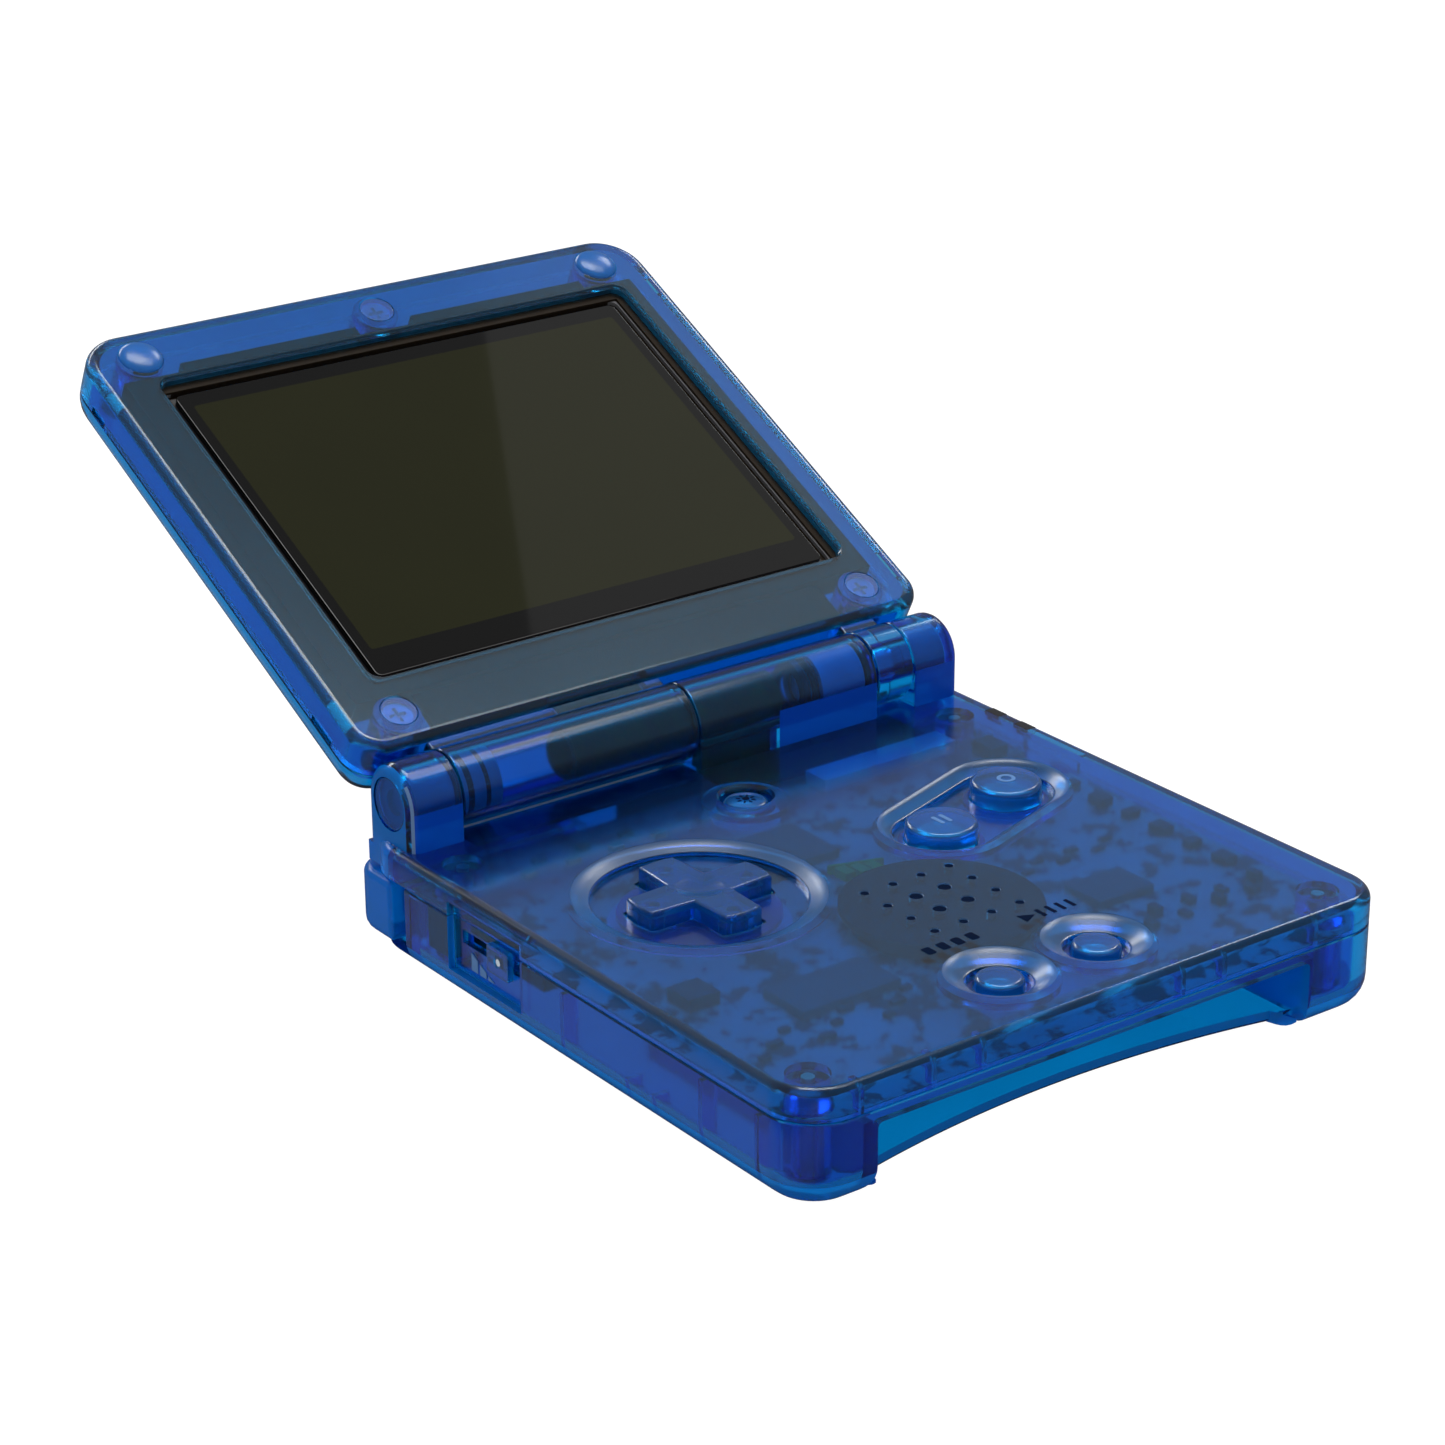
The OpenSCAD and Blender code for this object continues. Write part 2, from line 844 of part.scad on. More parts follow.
module hinge_cam() {
    color([0.75, 0.75, 0.78]) {
        hinge_rod(-32.4, -27, barrel_bore_r - fit_gap);
        hinge_rod(-37.6, -32.4, hinge_shaft_r);
    }
}

module hinge_pin() {
    color([0.75, 0.75, 0.78])
        hinge_rod(27.4, 37.6, hinge_shaft_r);
}

module lid_ribbon() {
    color([0.1, 0.25, 0.18]) {
        ribbon_roll(-16.6, mid_x0 - 0.6);
        in_lid()
            block([-14, 2.6, 0.3], [-2, 9.4, 0.6]);
    }
}

// Rocker disc that the cross tilts on
module dpad_pivot() {
    color([0.7, 0.7, 0.72])
        post(dpad_at, 3.5, dpad_pivot_z, dpad_pivot_z + 0.45);
}

module dpad_cross() {
    cross_top = 14.5;
    color(deep_blue)
        difference() {
            union() {
                post(dpad_at, 9.2, cross_flange_z[0], cross_flange_z[1]);
                at_dpad()
                    translate([0, 0, cross_flange_z[0] + 0.1])
                        linear_extrude(cross_top - cross_flange_z[0] - 0.1)
                            cross_outline(0);
            }
            // Thumb hollow in the middle, and the socket for the pivot
            translate([dpad_at[0], dpad_at[1], cross_top + 14.3])
                sphere(r = 15, $fn = 144);
            post(dpad_at, 4, 10, cross_flange_z[1] - 0.2);
        }
}

// A round button with its retaining flange
module round_button(at, r, flange_r, top_z) {
    color(deep_blue) {
        post(at, r, foot_z, top_z - 0.5);
        post(at, r - 0.4, top_z - 0.5, top_z);
        post(at, flange_r, foot_z, foot_z + flange_t);
    }
}

module a_button() {
    round_button(a_at, action_r, action_r + 0.8, 14.4);
}

module b_button() {
    round_button(b_at, action_r, action_r + 0.8, 14.4);
}

module start_button() {
    round_button(start_at, small_r, small_r + 0.8, 13.4);
}

module select_button() {
    round_button(select_at, small_r, small_r + 0.8, 13.4);
}

module light_button() {
    round_button(light_at, light_r, light_r + 0.8, 13.5);
}

// A slide knob in the left wall; the right one is its mirror image
module slide_knob(at, cap_l) {
    y = at[0];
    z = at[1];
    block([-half_w, y - cap_l / 2, z - 1.7], [-half_w + recess_t - slider_gap, y + cap_l / 2, z + 1.7]);
    block([-half_w + recess_t - slider_gap, y - 0.8, z - 0.6], [-36, y + 0.8, z + 0.6]);
    block([-half_w + wall + 0.15, y - 1.8, z - 1.3], [-half_w + wall + 0.75, y + 1.8, z + 1.3]);
}

module volume_slider() {
    color(deep_blue)
        slide_knob(volume_at, 4.2);
}

module power_slider() {
    color(deep_blue)
        mirror([1, 0, 0])
            slide_knob(power_at, 4.6);
}

// The right shoulder button, drawn once
module shoulder_button() {
    corner = 4;
    difference() {
        translate([0, 0, shoulder_z0])
            linear_extrude(shoulder_z1 - shoulder_z0) {
                translate([shoulder_in, shoulder_y0])
                    square([half_w - corner - shoulder_in, shoulder_y1 - shoulder_y0]);
                translate([shoulder_in, shoulder_y0])
                    square([half_w - shoulder_in, shoulder_y1 - shoulder_y0 - corner]);
                translate([half_w - corner, shoulder_y1 - corner])
                    circle(r = corner);
            }
        post(shoulder_pin_at, shoulder_pin_r + fit_gap, 0, parting_z + 1);
        post(shoulder_pin_at, 2, 7.9, parting_z + 1);
        block([24, shoulder_y0 + 1.4, shoulder_z0 + 1.4], [half_w - 4, shoulder_y1 - 1.6, shoulder_z1 - 1.4]);
    }
}

module left_shoulder_button() {
    color(deep_blue)
        mirror([1, 0, 0])
            shoulder_button();
}

module right_shoulder_button() {
    color(deep_blue)
        shoulder_button();
}

base_top_shell();
base_bottom_shell();
battery_door();
battery_door_screw();
battery_pack();
battery_contacts();
main_board();
board_shield();
main_processor();
memory_chip();
audio_chip();
board_components();
speaker();
speaker_gasket();
cartridge_connector();
connector_pins();
dpad_membrane();
action_membrane();
start_select_membrane();
light_membrane();
volume_pot();
power_switch();
shoulder_pins();
shoulder_springs();
shoulder_switches();
link_port();
power_inlet();
indicator_windows();
indicator_leds();
case_screws();
hinge_end_plugs();
hinge_click_unit();
hinge_bush();
display_connector();
display_ribbon();
lid_front_shell();
lid_back_shell();
screen_lens();
lcd_panel();
lcd_frame();
light_guide();
lid_board();
lid_screws();
screw_covers();
lid_bumpers();
hinge_cam();
hinge_pin();
lid_ribbon();
dpad_pivot();
dpad_cross();
a_button();
b_button();
start_button();
select_button();
light_button();
volume_slider();
power_slider();
left_shoulder_button();
right_shoulder_button();
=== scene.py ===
import json
import math

import bpy
import bmesh
from mathutils import Matrix, Vector


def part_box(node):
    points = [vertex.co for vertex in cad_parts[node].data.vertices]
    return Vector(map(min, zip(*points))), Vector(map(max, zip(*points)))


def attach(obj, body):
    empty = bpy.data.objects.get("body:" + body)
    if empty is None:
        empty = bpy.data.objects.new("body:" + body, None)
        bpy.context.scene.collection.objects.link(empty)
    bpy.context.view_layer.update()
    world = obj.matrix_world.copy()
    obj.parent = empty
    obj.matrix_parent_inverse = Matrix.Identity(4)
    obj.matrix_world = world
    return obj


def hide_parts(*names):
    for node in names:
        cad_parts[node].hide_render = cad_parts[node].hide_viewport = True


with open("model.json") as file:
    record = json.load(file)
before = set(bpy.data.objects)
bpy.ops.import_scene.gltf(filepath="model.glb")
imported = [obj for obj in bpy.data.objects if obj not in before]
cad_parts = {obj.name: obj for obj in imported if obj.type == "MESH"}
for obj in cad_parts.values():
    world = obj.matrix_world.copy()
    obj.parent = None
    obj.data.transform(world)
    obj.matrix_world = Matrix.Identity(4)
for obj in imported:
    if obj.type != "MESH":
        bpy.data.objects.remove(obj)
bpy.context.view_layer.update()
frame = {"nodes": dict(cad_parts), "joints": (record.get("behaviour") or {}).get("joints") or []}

# ---------------------------------------------------------------- places, in millimetres
MM = 0.001
joints = {j["name"]: j for j in frame["joints"]}
hinge = [c / MM for c in joints["lid_hinge"]["pos_m"]]
HINGE_Y, HINGE_Z = hinge[1], hinge[2]
TILT = math.radians(26.5)
LID = Matrix.Translation((0, HINGE_Y, HINGE_Z)) @ Matrix.Rotation(TILT, 4, "X")
ALONG_X = Matrix(((0, 0, 1, 0), (1, 0, 0, 0), (0, 1, 0, 0), (0, 0, 0, 1)))
ALONG_Y = Matrix(((1, 0, 0, 0), (0, 0, 1, 0), (0, 1, 0, 0), (0, 0, 0, 1)))
MIRROR = Matrix.Diagonal((-1, 1, 1, 1))
AXLE = Matrix.Translation((0, HINGE_Y, HINGE_Z)) @ ALONG_X
LID_AXLE = LID @ ALONG_X
HERE = Matrix.Identity(4)


def centre(node):
    """Middle of a CAD node's box, in millimetres."""
    low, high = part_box(node)
    return [(a + b) / 2 / MM for a, b in zip(low, high)]


DPAD = centre("dpad_cross")[:2]
A_AT = centre("a_button")[:2]
B_AT = centre("b_button")[:2]
START = centre("start_button")[:2]
SELECT = centre("select_button")[:2]
LIGHT = centre("light_button")[:2]
SPEAKER = centre("speaker")[:2]
HALF = 41.0   # half the width and half the depth of the base
TOP = 13.8    # height of the base's top face
SEAM = 10.0   # height of the seam between its two shells
WALL = 1.6


# ---------------------------------------------------------------- outlines: functions from inset to points
def arc(cx, cy, r, a0, a1, n):
    """Points of an arc in n steps. The angles are in degrees."""
    return [(cx + r * math.cos(math.radians(a0 + (a1 - a0) * i / n)),
             cy + r * math.sin(math.radians(a0 + (a1 - a0) * i / n))) for i in range(n + 1)]


def rrect(x0, x1, y0, y1, radii, n=10):
    """Rounded rectangle. radii runs far right, far left, near left, near right."""
    if not isinstance(radii, (tuple, list)):
        radii = (radii,) * 4

    def outline(d):
        a, b, c, e = [max(radius - d, 0.02) for radius in radii]
        left, right, near, far = x0 + d, x1 - d, y0 + d, y1 - d
        return (arc(right - a, far - a, a, 0, 90, n) + arc(left + b, far - b, b, 90, 180, n)
                + arc(left + c, near + c, c, 180, 270, n) + arc(right - e, near + e, e, 270, 360, n))
    return outline


def disc(at, r, n=64):
    return lambda d: [(at[0] + (r - d) * math.cos(2 * math.pi * i / n),
                       at[1] + (r - d) * math.sin(2 * math.pi * i / n)) for i in range(n)]


def stadium(p, q, r, n=28):
    """Slot outline with round ends about p and q."""
    angle = math.degrees(math.atan2(q[1] - p[1], q[0] - p[0]))
    return lambda d: (arc(q[0], q[1], r - d, angle - 90, angle + 90, n)
                      + arc(p[0], p[1], r - d, angle + 90, angle + 270, n))


def cross(at, reach, half, trim, n=6):
    """Cross with curved arm ends, which are shortened by trim degrees on either side."""
    def outline(d):
        pts = []
        reach_d, half_d = reach - d, half - d
        spread = math.degrees(math.asin(half_d / reach_d))
        for quarter in range(4):
            a = 90 * quarter
            pts += arc(0, 0, reach_d, a - spread + trim, a + spread - trim, n)
            inner = math.radians(a + 45)
            pts.append((half_d * math.sqrt(2) * math.cos(inner), half_d * math.sqrt(2) * math.sin(inner)))
        return [(at[0] + x, at[1] + y) for x, y in pts]
    return outline


# ---------------------------------------------------------------- solids
MERGE = 0.0005            # points closer than this become one, in millimetres
SHARP = math.radians(35)  # edges sharper than this stay sharp


def quarter_turn(n):
    """Angles from 0 to 90 degrees in n steps, in radians."""
    return [math.pi / 2 * i / n for i in range(n + 1)]


def rounding(z0, z1, low=0.0, high=0.0, n=5):
    """Profile [(inset, height)] of an upright wall with rounded bottom and top edges."""
    steps = quarter_turn(n)
    prof = [(low * (1 - math.sin(a)), z0 + low * (1 - math.cos(a))) for a in steps] if low else [(0, z0)]
    prof += [(high * (1 - math.cos(a)), z1 - high + high * math.sin(a)) for a in steps] if high else [(0, z1)]
    return prof


def skin(rings):
    """Closed solid through rings of points, all of one length."""
    bm = bmesh.new()
    rings = [[bm.verts.new(point) for point in ring] for ring in rings]
    for low, high in zip(rings, rings[1:]):
        for i in range(len(low)):
            j = (i + 1) % len(low)
            bm.faces.new((low[i], low[j], high[j], high[i]))
    bm.faces.new(list(reversed(rings[0])))
    bm.faces.new(rings[-1])
    return bm


def loft(outline, prof, place=HERE):
    """Solid whose section at each height of the profile is the outline at that inset."""
    return skin([[place @ Vector((x, y, z)) for x, y in outline(d)] for d, z in prof])


def pad(outline, z0, z1, low=0.0, high=0.0, place=HERE, n=5):
    """Upright solid from z0 to z1 with its lower and upper edges rounded by low and high."""
    return loft(outline, rounding(z0, z1, low, high, n), place)


def box(x0, x1, y0, y1, z0, z1, place=HERE, r=0.05):
    return pad(rrect(x0, x1, y0, y1, r, 2), z0, z1, place=place)


def side_box(side, x0, x1, y0, y1, z0, z1):
    """Box on the right for side = 1, mirrored to the left for side = -1."""
    low, high = sorted((side * x0, side * x1))
    return box(low, high, y0, y1, z0, z1)


def ring(r, bore, z0, z1, place):
    """Washer about the z axis of place."""
    return cut(pad(disc((0, 0), r, 40), z0, z1, place=place),
               pad(disc((0, 0), bore, 32), z0 - 1, z1 + 1, place=place))


def lathe(at, prof, place=HERE, n=64):
    """Solid of revolution through [(radius, height)], from bottom to top."""
    return loft(lambda r: disc(at, r, n)(0), prof, place)


def flare(r_floor, z_floor, r_rim, soft):
    """Profile of a tapered recess whose rim rolls over into the top face."""
    slope = (r_rim - r_floor) / (TOP - z_floor)
    prof = [(r_floor - 0.25, z_floor - 0.6), (r_floor - 0.25, z_floor), (r_floor - 0.12, z_floor + 0.02),
            (r_floor, z_floor + 0.08)]
    lip = soft * 0.6
    for t in [i / 6 for i in range(7)]:
        below = (1 - t) ** 2
        prof.append((r_rim - lip * slope * below + lip * t * t, TOP - lip * below))
    prof.append((prof[-1][0], TOP + 1.5))
    return prof


def to_object(bm, name):
    """Puts a mesh in the scene and frees it."""
    bmesh.ops.recalc_face_normals(bm, faces=bm.faces)
    mesh = bpy.data.meshes.new(name)
    bm.to_mesh(mesh)
    bm.free()
    obj = bpy.data.objects.new(name, mesh)
    bpy.context.scene.collection.objects.link(obj)
    return obj


def combine(base, tools, operation):
    """Applies booleans between closed solids, all in millimetres."""
    obj = to_object(base, "work")
    parts = [to_object(t, "tool") for t in tools]
    for part in parts:
        mod = obj.modifiers.new("cut", "BOOLEAN")
        mod.object = part
        mod.operation = operation
        mod.solver = "MANIFOLD"
    graph = bpy.context.evaluated_depsgraph_get()
    bm = bmesh.new()
    bm.from_object(obj, graph)
    for o in parts + [obj]:
        mesh = o.data
        bpy.data.objects.remove(o)
        bpy.data.meshes.remove(mesh)
    if not bm.faces:
        raise RuntimeError("a boolean came out empty")
    return bm


def union(base, *tools):
    return combine(base, tools, "UNION")


def cut(base, *tools):
    return combine(base, tools, "DIFFERENCE")


def joined(*solids):
    """Puts separate solids in one mesh, without a boolean."""
    out = bmesh.new()
    for s in solids:
        mesh = bpy.data.meshes.new("part")
        s.to_mesh(mesh)
        s.free()
        out.from_mesh(mesh)
        bpy.data.meshes.remove(mesh)
    return out


def piece(bm, name, body, slot, mat, *nodes):
    """Makes a visual piece of a solid in millimetres. It replaces the CAD nodes named, if any."""
    bmesh.ops.remove_doubles(bm, verts=bm.verts, dist=MERGE)
    bmesh.ops.scale(bm, vec=(MM, MM, MM), verts=bm.verts)
    obj = to_object(bm, name)
    for poly in obj.data.polygons:
        poly.use_smooth = True
    obj.data.set_sharp_from_angle(angle=SHARP)
    flat_faces = obj.modifiers.new("flat faces", "WEIGHTED_NORMAL")
    flat_faces.keep_sharp = True
    flat_faces.weight = 60
    obj.data.materials.append(mat)
    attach(obj, body)
    if nodes:
        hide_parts(*nodes)
    return obj


# ---------------------------------------------------------------- materials
def linear(r, g, b):
    """Colour in the shader's linear values, from 0 to 255 steps of sRGB."""
    def one(c):
        c /= 255
        return c / 12.92 if c <= 0.04045 else ((c + 0.055) / 1.055) ** 2.4
    return (one(r), one(g), one(b), 1.0)


def put(tree, value, socket):
    """Links the value to the socket if it is an output, or else sets it there."""
    if isinstance(value, bpy.types.NodeSocket):
        tree.links.new(value, socket)
    else:
        socket.default_value = value


def feed(tree, node, **inputs):
    """Fills a node's inputs. Their names have _ in place of a space."""
    for name, value in inputs.items():
        put(tree, value, node.inputs[name.replace("_", " ")])


def add_node(tree, kind, data_type=None, **inputs):
    """Adds a shader node with its inputs filled."""
    node = tree.nodes.new("ShaderNode" + kind)
    if data_type:
        node.data_type = data_type
    feed(tree, node, **inputs)
    return node


def add_math(tree, operation, *values):
    """Output of a new math node."""
    node = tree.nodes.new("ShaderNodeMath")
    node.operation = operation
    for value, socket in zip(values, node.inputs):
        put(tree, value, socket)
    return node.outputs["Value"]


# Dark blue of the painted shade, the colour a surface fades to beyond a given y
PAINTED_SHADE = (0.01, 0.06, 0.17, 1)  # what painted_shade_from fades to


def material(name, color, rough, spread=0.08, scale=60.0, metallic=0.0, bump=0.04, bump_scale=900.0,
             transmission=0.0, ior=1.47, coat=0.0, coat_rough=0.12, specular=0.5,
             spot=None, spot_scale=200.0, spot_share=0.5, painted_shade_from=None):
    """Principled material with procedural colour variation, roughness variation and a fine grain.

    spot is a second colour in blotches. The shade argument gives the y in metres beyond which the surface
    turns darker: painted shade.
    """
    mat = bpy.data.materials.new(name)
    mat.use_nodes = True
    tree = mat.node_tree
    place = add_node(tree, "TexCoord").outputs["Object"]
    noise = add_node(tree, "TexNoise", Vector=place, Scale=scale, Detail=4)
    tone = add_node(tree, "ValToRGB", Fac=noise.outputs["Fac"])
    for stop, at, share in zip(tone.color_ramp.elements, (0.35, 0.65), (1 - spread, 1 + spread)):
        stop.position = at
        stop.color = [min(1, c * share) for c in color[:3]] + [1]
    base = tone.outputs["Color"]
    if spot:
        cells = add_node(tree, "TexNoise", Vector=place, Scale=spot_scale, Detail=6, Roughness=0.62)
        edge = add_node(tree, "ValToRGB", Fac=cells.outputs["Fac"])
        edge.color_ramp.elements[0].position = spot_share - 0.03
        edge.color_ramp.elements[1].position = spot_share + 0.03
        base = add_node(tree, "Mix", "RGBA", Factor=edge.outputs["Color"], A=base, B=spot).outputs["Result"]
    # Painted shade: the colour fades to the dark blue beyond the given y
    if painted_shade_from:
        along = add_node(tree, "SeparateXYZ", Vector=place).outputs["Y"]
        fade = add_node(tree, "MapRange", Value=along, From_Min=painted_shade_from, From_Max=painted_shade_from + 0.005,
                        To_Max=0.75)
        base = add_node(tree, "Mix", "RGBA", Factor=fade.outputs["Result"], A=base, B=PAINTED_SHADE).outputs["Result"]
    grain = add_node(tree, "TexNoise", Vector=place, Scale=bump_scale, Detail=3).outputs["Fac"]
    wear = add_node(tree, "MapRange", Value=grain, To_Min=rough * 0.9, To_Max=min(1.0, rough * 1.12 + 0.005))
    shader = tree.nodes["Principled BSDF"]
    feed(tree, shader, Base_Color=base, Roughness=wear.outputs["Result"], Metallic=metallic, IOR=ior,
         Transmission_Weight=transmission, Specular_IOR_Level=specular,
         Coat_Weight=coat, Coat_Roughness=coat_rough)
    if bump:
        relief = add_node(tree, "Bump", Strength=bump, Distance=0.0002, Height=grain)
        feed(tree, shader, Normal=relief.outputs["Normal"])
    return mat


BLUE = (0.001, 0.345, 0.89, 1)
MOULDED = {"spread": 0.03, "bump": 0.008, "specular": 0.1}
SMOOTH = {"spread": 0.03, "bump": 0.006}

frosted = material("frosted_blue", BLUE, 0.11, transmission=0.99, coat=0.8, coat_rough=0.25, **MOULDED)
satin_rim = material("satin_rim_blue", (0.004, 0.20, 0.60, 1), 0.25, transmission=0.75, specular=0.1,
                     coat=1.0, coat_rough=0.33, **SMOOTH)
edge_blue = material("edge_blue", BLUE, 0.12, transmission=0.96, specular=0.1,
                     coat=0.12, coat_rough=0.25, **SMOOTH)
clear = material("clear_blue", BLUE, 0.12, transmission=0.99, coat=0.3, coat_rough=0.20, **MOULDED)
frosted_lid = material("frosted_lid_blue", (0.001, 0.345, 0.68, 1), 0.11, transmission=0.99,
                       coat=0.6, coat_rough=0.21, **MOULDED)
keys = material("key_blue", (0.001, 0.32, 0.86, 1), 0.14, transmission=0.88,
                coat=0.8, coat_rough=0.30, **MOULDED)
# Lighter, more opaque copy of the case blue: the shoulder buttons' own colour, and painted light on shell
# faces that would show dark
shoulder_blue_and_painted_light = material("shoulder_blue_and_painted_light", (0.001, 0.27, 1.0, 1), 0.2, transmission=0.5, specular=0.12, **SMOOTH)
# Darker, less clear copy of the case blue for the fronts of the knuckles: painted shade
knuckle_front_shade = material("deep_blue", (0.001, 0.07, 0.56, 1), 0.25, transmission=0.15, specular=0.12, **SMOOTH)
# Pale blue for a narrow band on the knuckles' rounded outer corners: a painted highlight
painted_corner_highlight = material("painted_corner_highlight_blue", (0.13, 0.24, 0.47, 1), 0.3, **SMOOTH)
cap_blue = material("cap_blue", (0.010, 0.22, 0.70, 1), 0.22, transmission=0.5,
                    coat=0.35, coat_rough=0.3, **SMOOTH)
soft_edge = material("soft_edge_blue", BLUE, 0.16, transmission=0.92, specular=0.1,
                     coat=0.5, coat_rough=0.5, **SMOOTH)
# Dark copy of the case blue on the walls of the screen window: painted shade
window_lip_shade = material("window_lip_shade", (0.004, 0.045, 0.09, 1), 0.3, transmission=0.3,
                      coat=0.4, coat_rough=0.3, **SMOOTH)

# The board turns darker towards the hinge, from y = 17 mm on: painted shade
board = material("board", (0.78, 0.86, 0.62, 1), 0.5, spot=(0.17, 0.19, 0.12, 1), spot_scale=210,
                 spot_share=0.53, painted_shade_from=0.017)
chip = material("chip", (0.22, 0.25, 0.17, 1), 0.5)
tan = material("small_parts", (0.16, 0.15, 0.09, 1), 0.5, spread=0.5, scale=300)
steel = material("steel", (0.55, 0.56, 0.58, 1), 0.28, metallic=1.0, scale=500)
shield = material("shield", (0.62, 0.63, 0.65, 1), 0.35, metallic=1.0, scale=200)
gold = material("gold", (0.80, 0.58, 0.22, 1), 0.25, metallic=1.0)
black = material("socket_black", (0.012, 0.012, 0.014, 1), 0.4)
felt = material("felt", (0.020, 0.024, 0.022, 1), 0.9, bump=0.3, bump_scale=2500)
battery = material("battery", (0.045, 0.05, 0.06, 1), 0.5)
white = material("white_plastic", (0.92, 0.94, 0.95, 1), 0.35)
flex = material("flex_green", (0.010, 0.070, 0.003, 1), 0.4, spread=0.35, scale=400, specular=0.1)
# Dark grey of the display module, also used for the painted shade in the gap around the screen
module_grey_and_gap_shade = material("module_grey_and_gap_shade", (0.022, 0.014, 0.007, 1), 0.6, spread=0.12, scale=90, specular=0.2)
glass_border = material("lens_border", linear(8, 8, 8), 0.025, spread=0.02, bump=0.0, ior=1.5)
display = material("display", linear(31, 32, 9), 0.025, spread=0.03, bump=0.0, ior=1.5)
smoke = material("smoked_lens", (0.02, 0.02, 0.025, 1), 0.12)
step_grey = material("step_grey", (0.16, 0.16, 0.17, 1), 0.4)
hinge_pale = material("hinge_pale", (0.50, 0.55, 0.58, 1), 0.4)
pad_green = material("pad_green", (0.30, 1.0, 0.06, 1), 0.4)
# White for the dot in the slider caps' dimples: a painted highlight
painted_dot_highlight = material("painted_dot_highlight", (0.75, 0.85, 0.95, 1), 0.4)
# Near black for printed marks, and for the painted shade inside the speaker holes
print_and_shade_dark = material("print_and_shade_dark", (0.002, 0.008, 0.030, 1), 0.8, specular=0.02)
mark_pale = material("mark_pale", (0.10, 0.25, 0.55, 1), 0.4)

# ---------------------------------------------------------------- base, upper shell
BARREL_R = 4.7
# From x, to x, and the rounding of the two ends
KNUCKLES = [(-39.8, -32.8, 1.3, 0.3), (0.4, 27.0, 0.3, 0.3), (32.8, 39.8, 0.3, 1.3)]
LID_BARRELS = [(-32.6, 0.2), (27.2, 32.6)]
KNUCKLE_SHADING_FROM_X = 12.0  # on the middle knuckle


def barrel_section(r, foot):
    """Half barrel on upright walls, in the plane across the hinge."""
    return lambda d: arc(0, 0, r - d, 0, 180, 24) + [(-(r - d), foot), (r - d, foot)]


def knuckle(x0, x1, left, right):
    """Hinge knuckle of the base from x0 to x1, with its two end edges rounded by left and right."""
    return loft(barrel_section(BARREL_R, -6.0), rounding(x0, x1, left, right), AXLE)


base_outline = rrect(-HALF, HALF, -HALF, HALF, 6, 12)
inner_outline = rrect(-HALF + WALL, HALF - WALL, -HALF + WALL, HALF - WALL, 4.4, 8)
CASE_SCREWS = [(-36, -35.3), (35, -35.3), (-35.8, 27.6), (35.8, 27.6)]
HOLE_PITCH = 4.0
SPEAKER_HOLES = [((SPEAKER[0] + HOLE_PITCH * (i - 1.5), SPEAKER[1] + HOLE_PITCH * (j - 1.5)),
                  0.75 if i in (1, 2) and j in (1, 2) else 0.5) for i in range(4) for j in range(4)]


def slider_recesses():
    """Cutters for the shallow recess around each slider."""
    return [box(-42, -40.1, 8.7, 23, 3.6, 11.8, r=0.4), box(40.1, 42, 9.5, 19.5, 4.6, 11, r=0.4)]


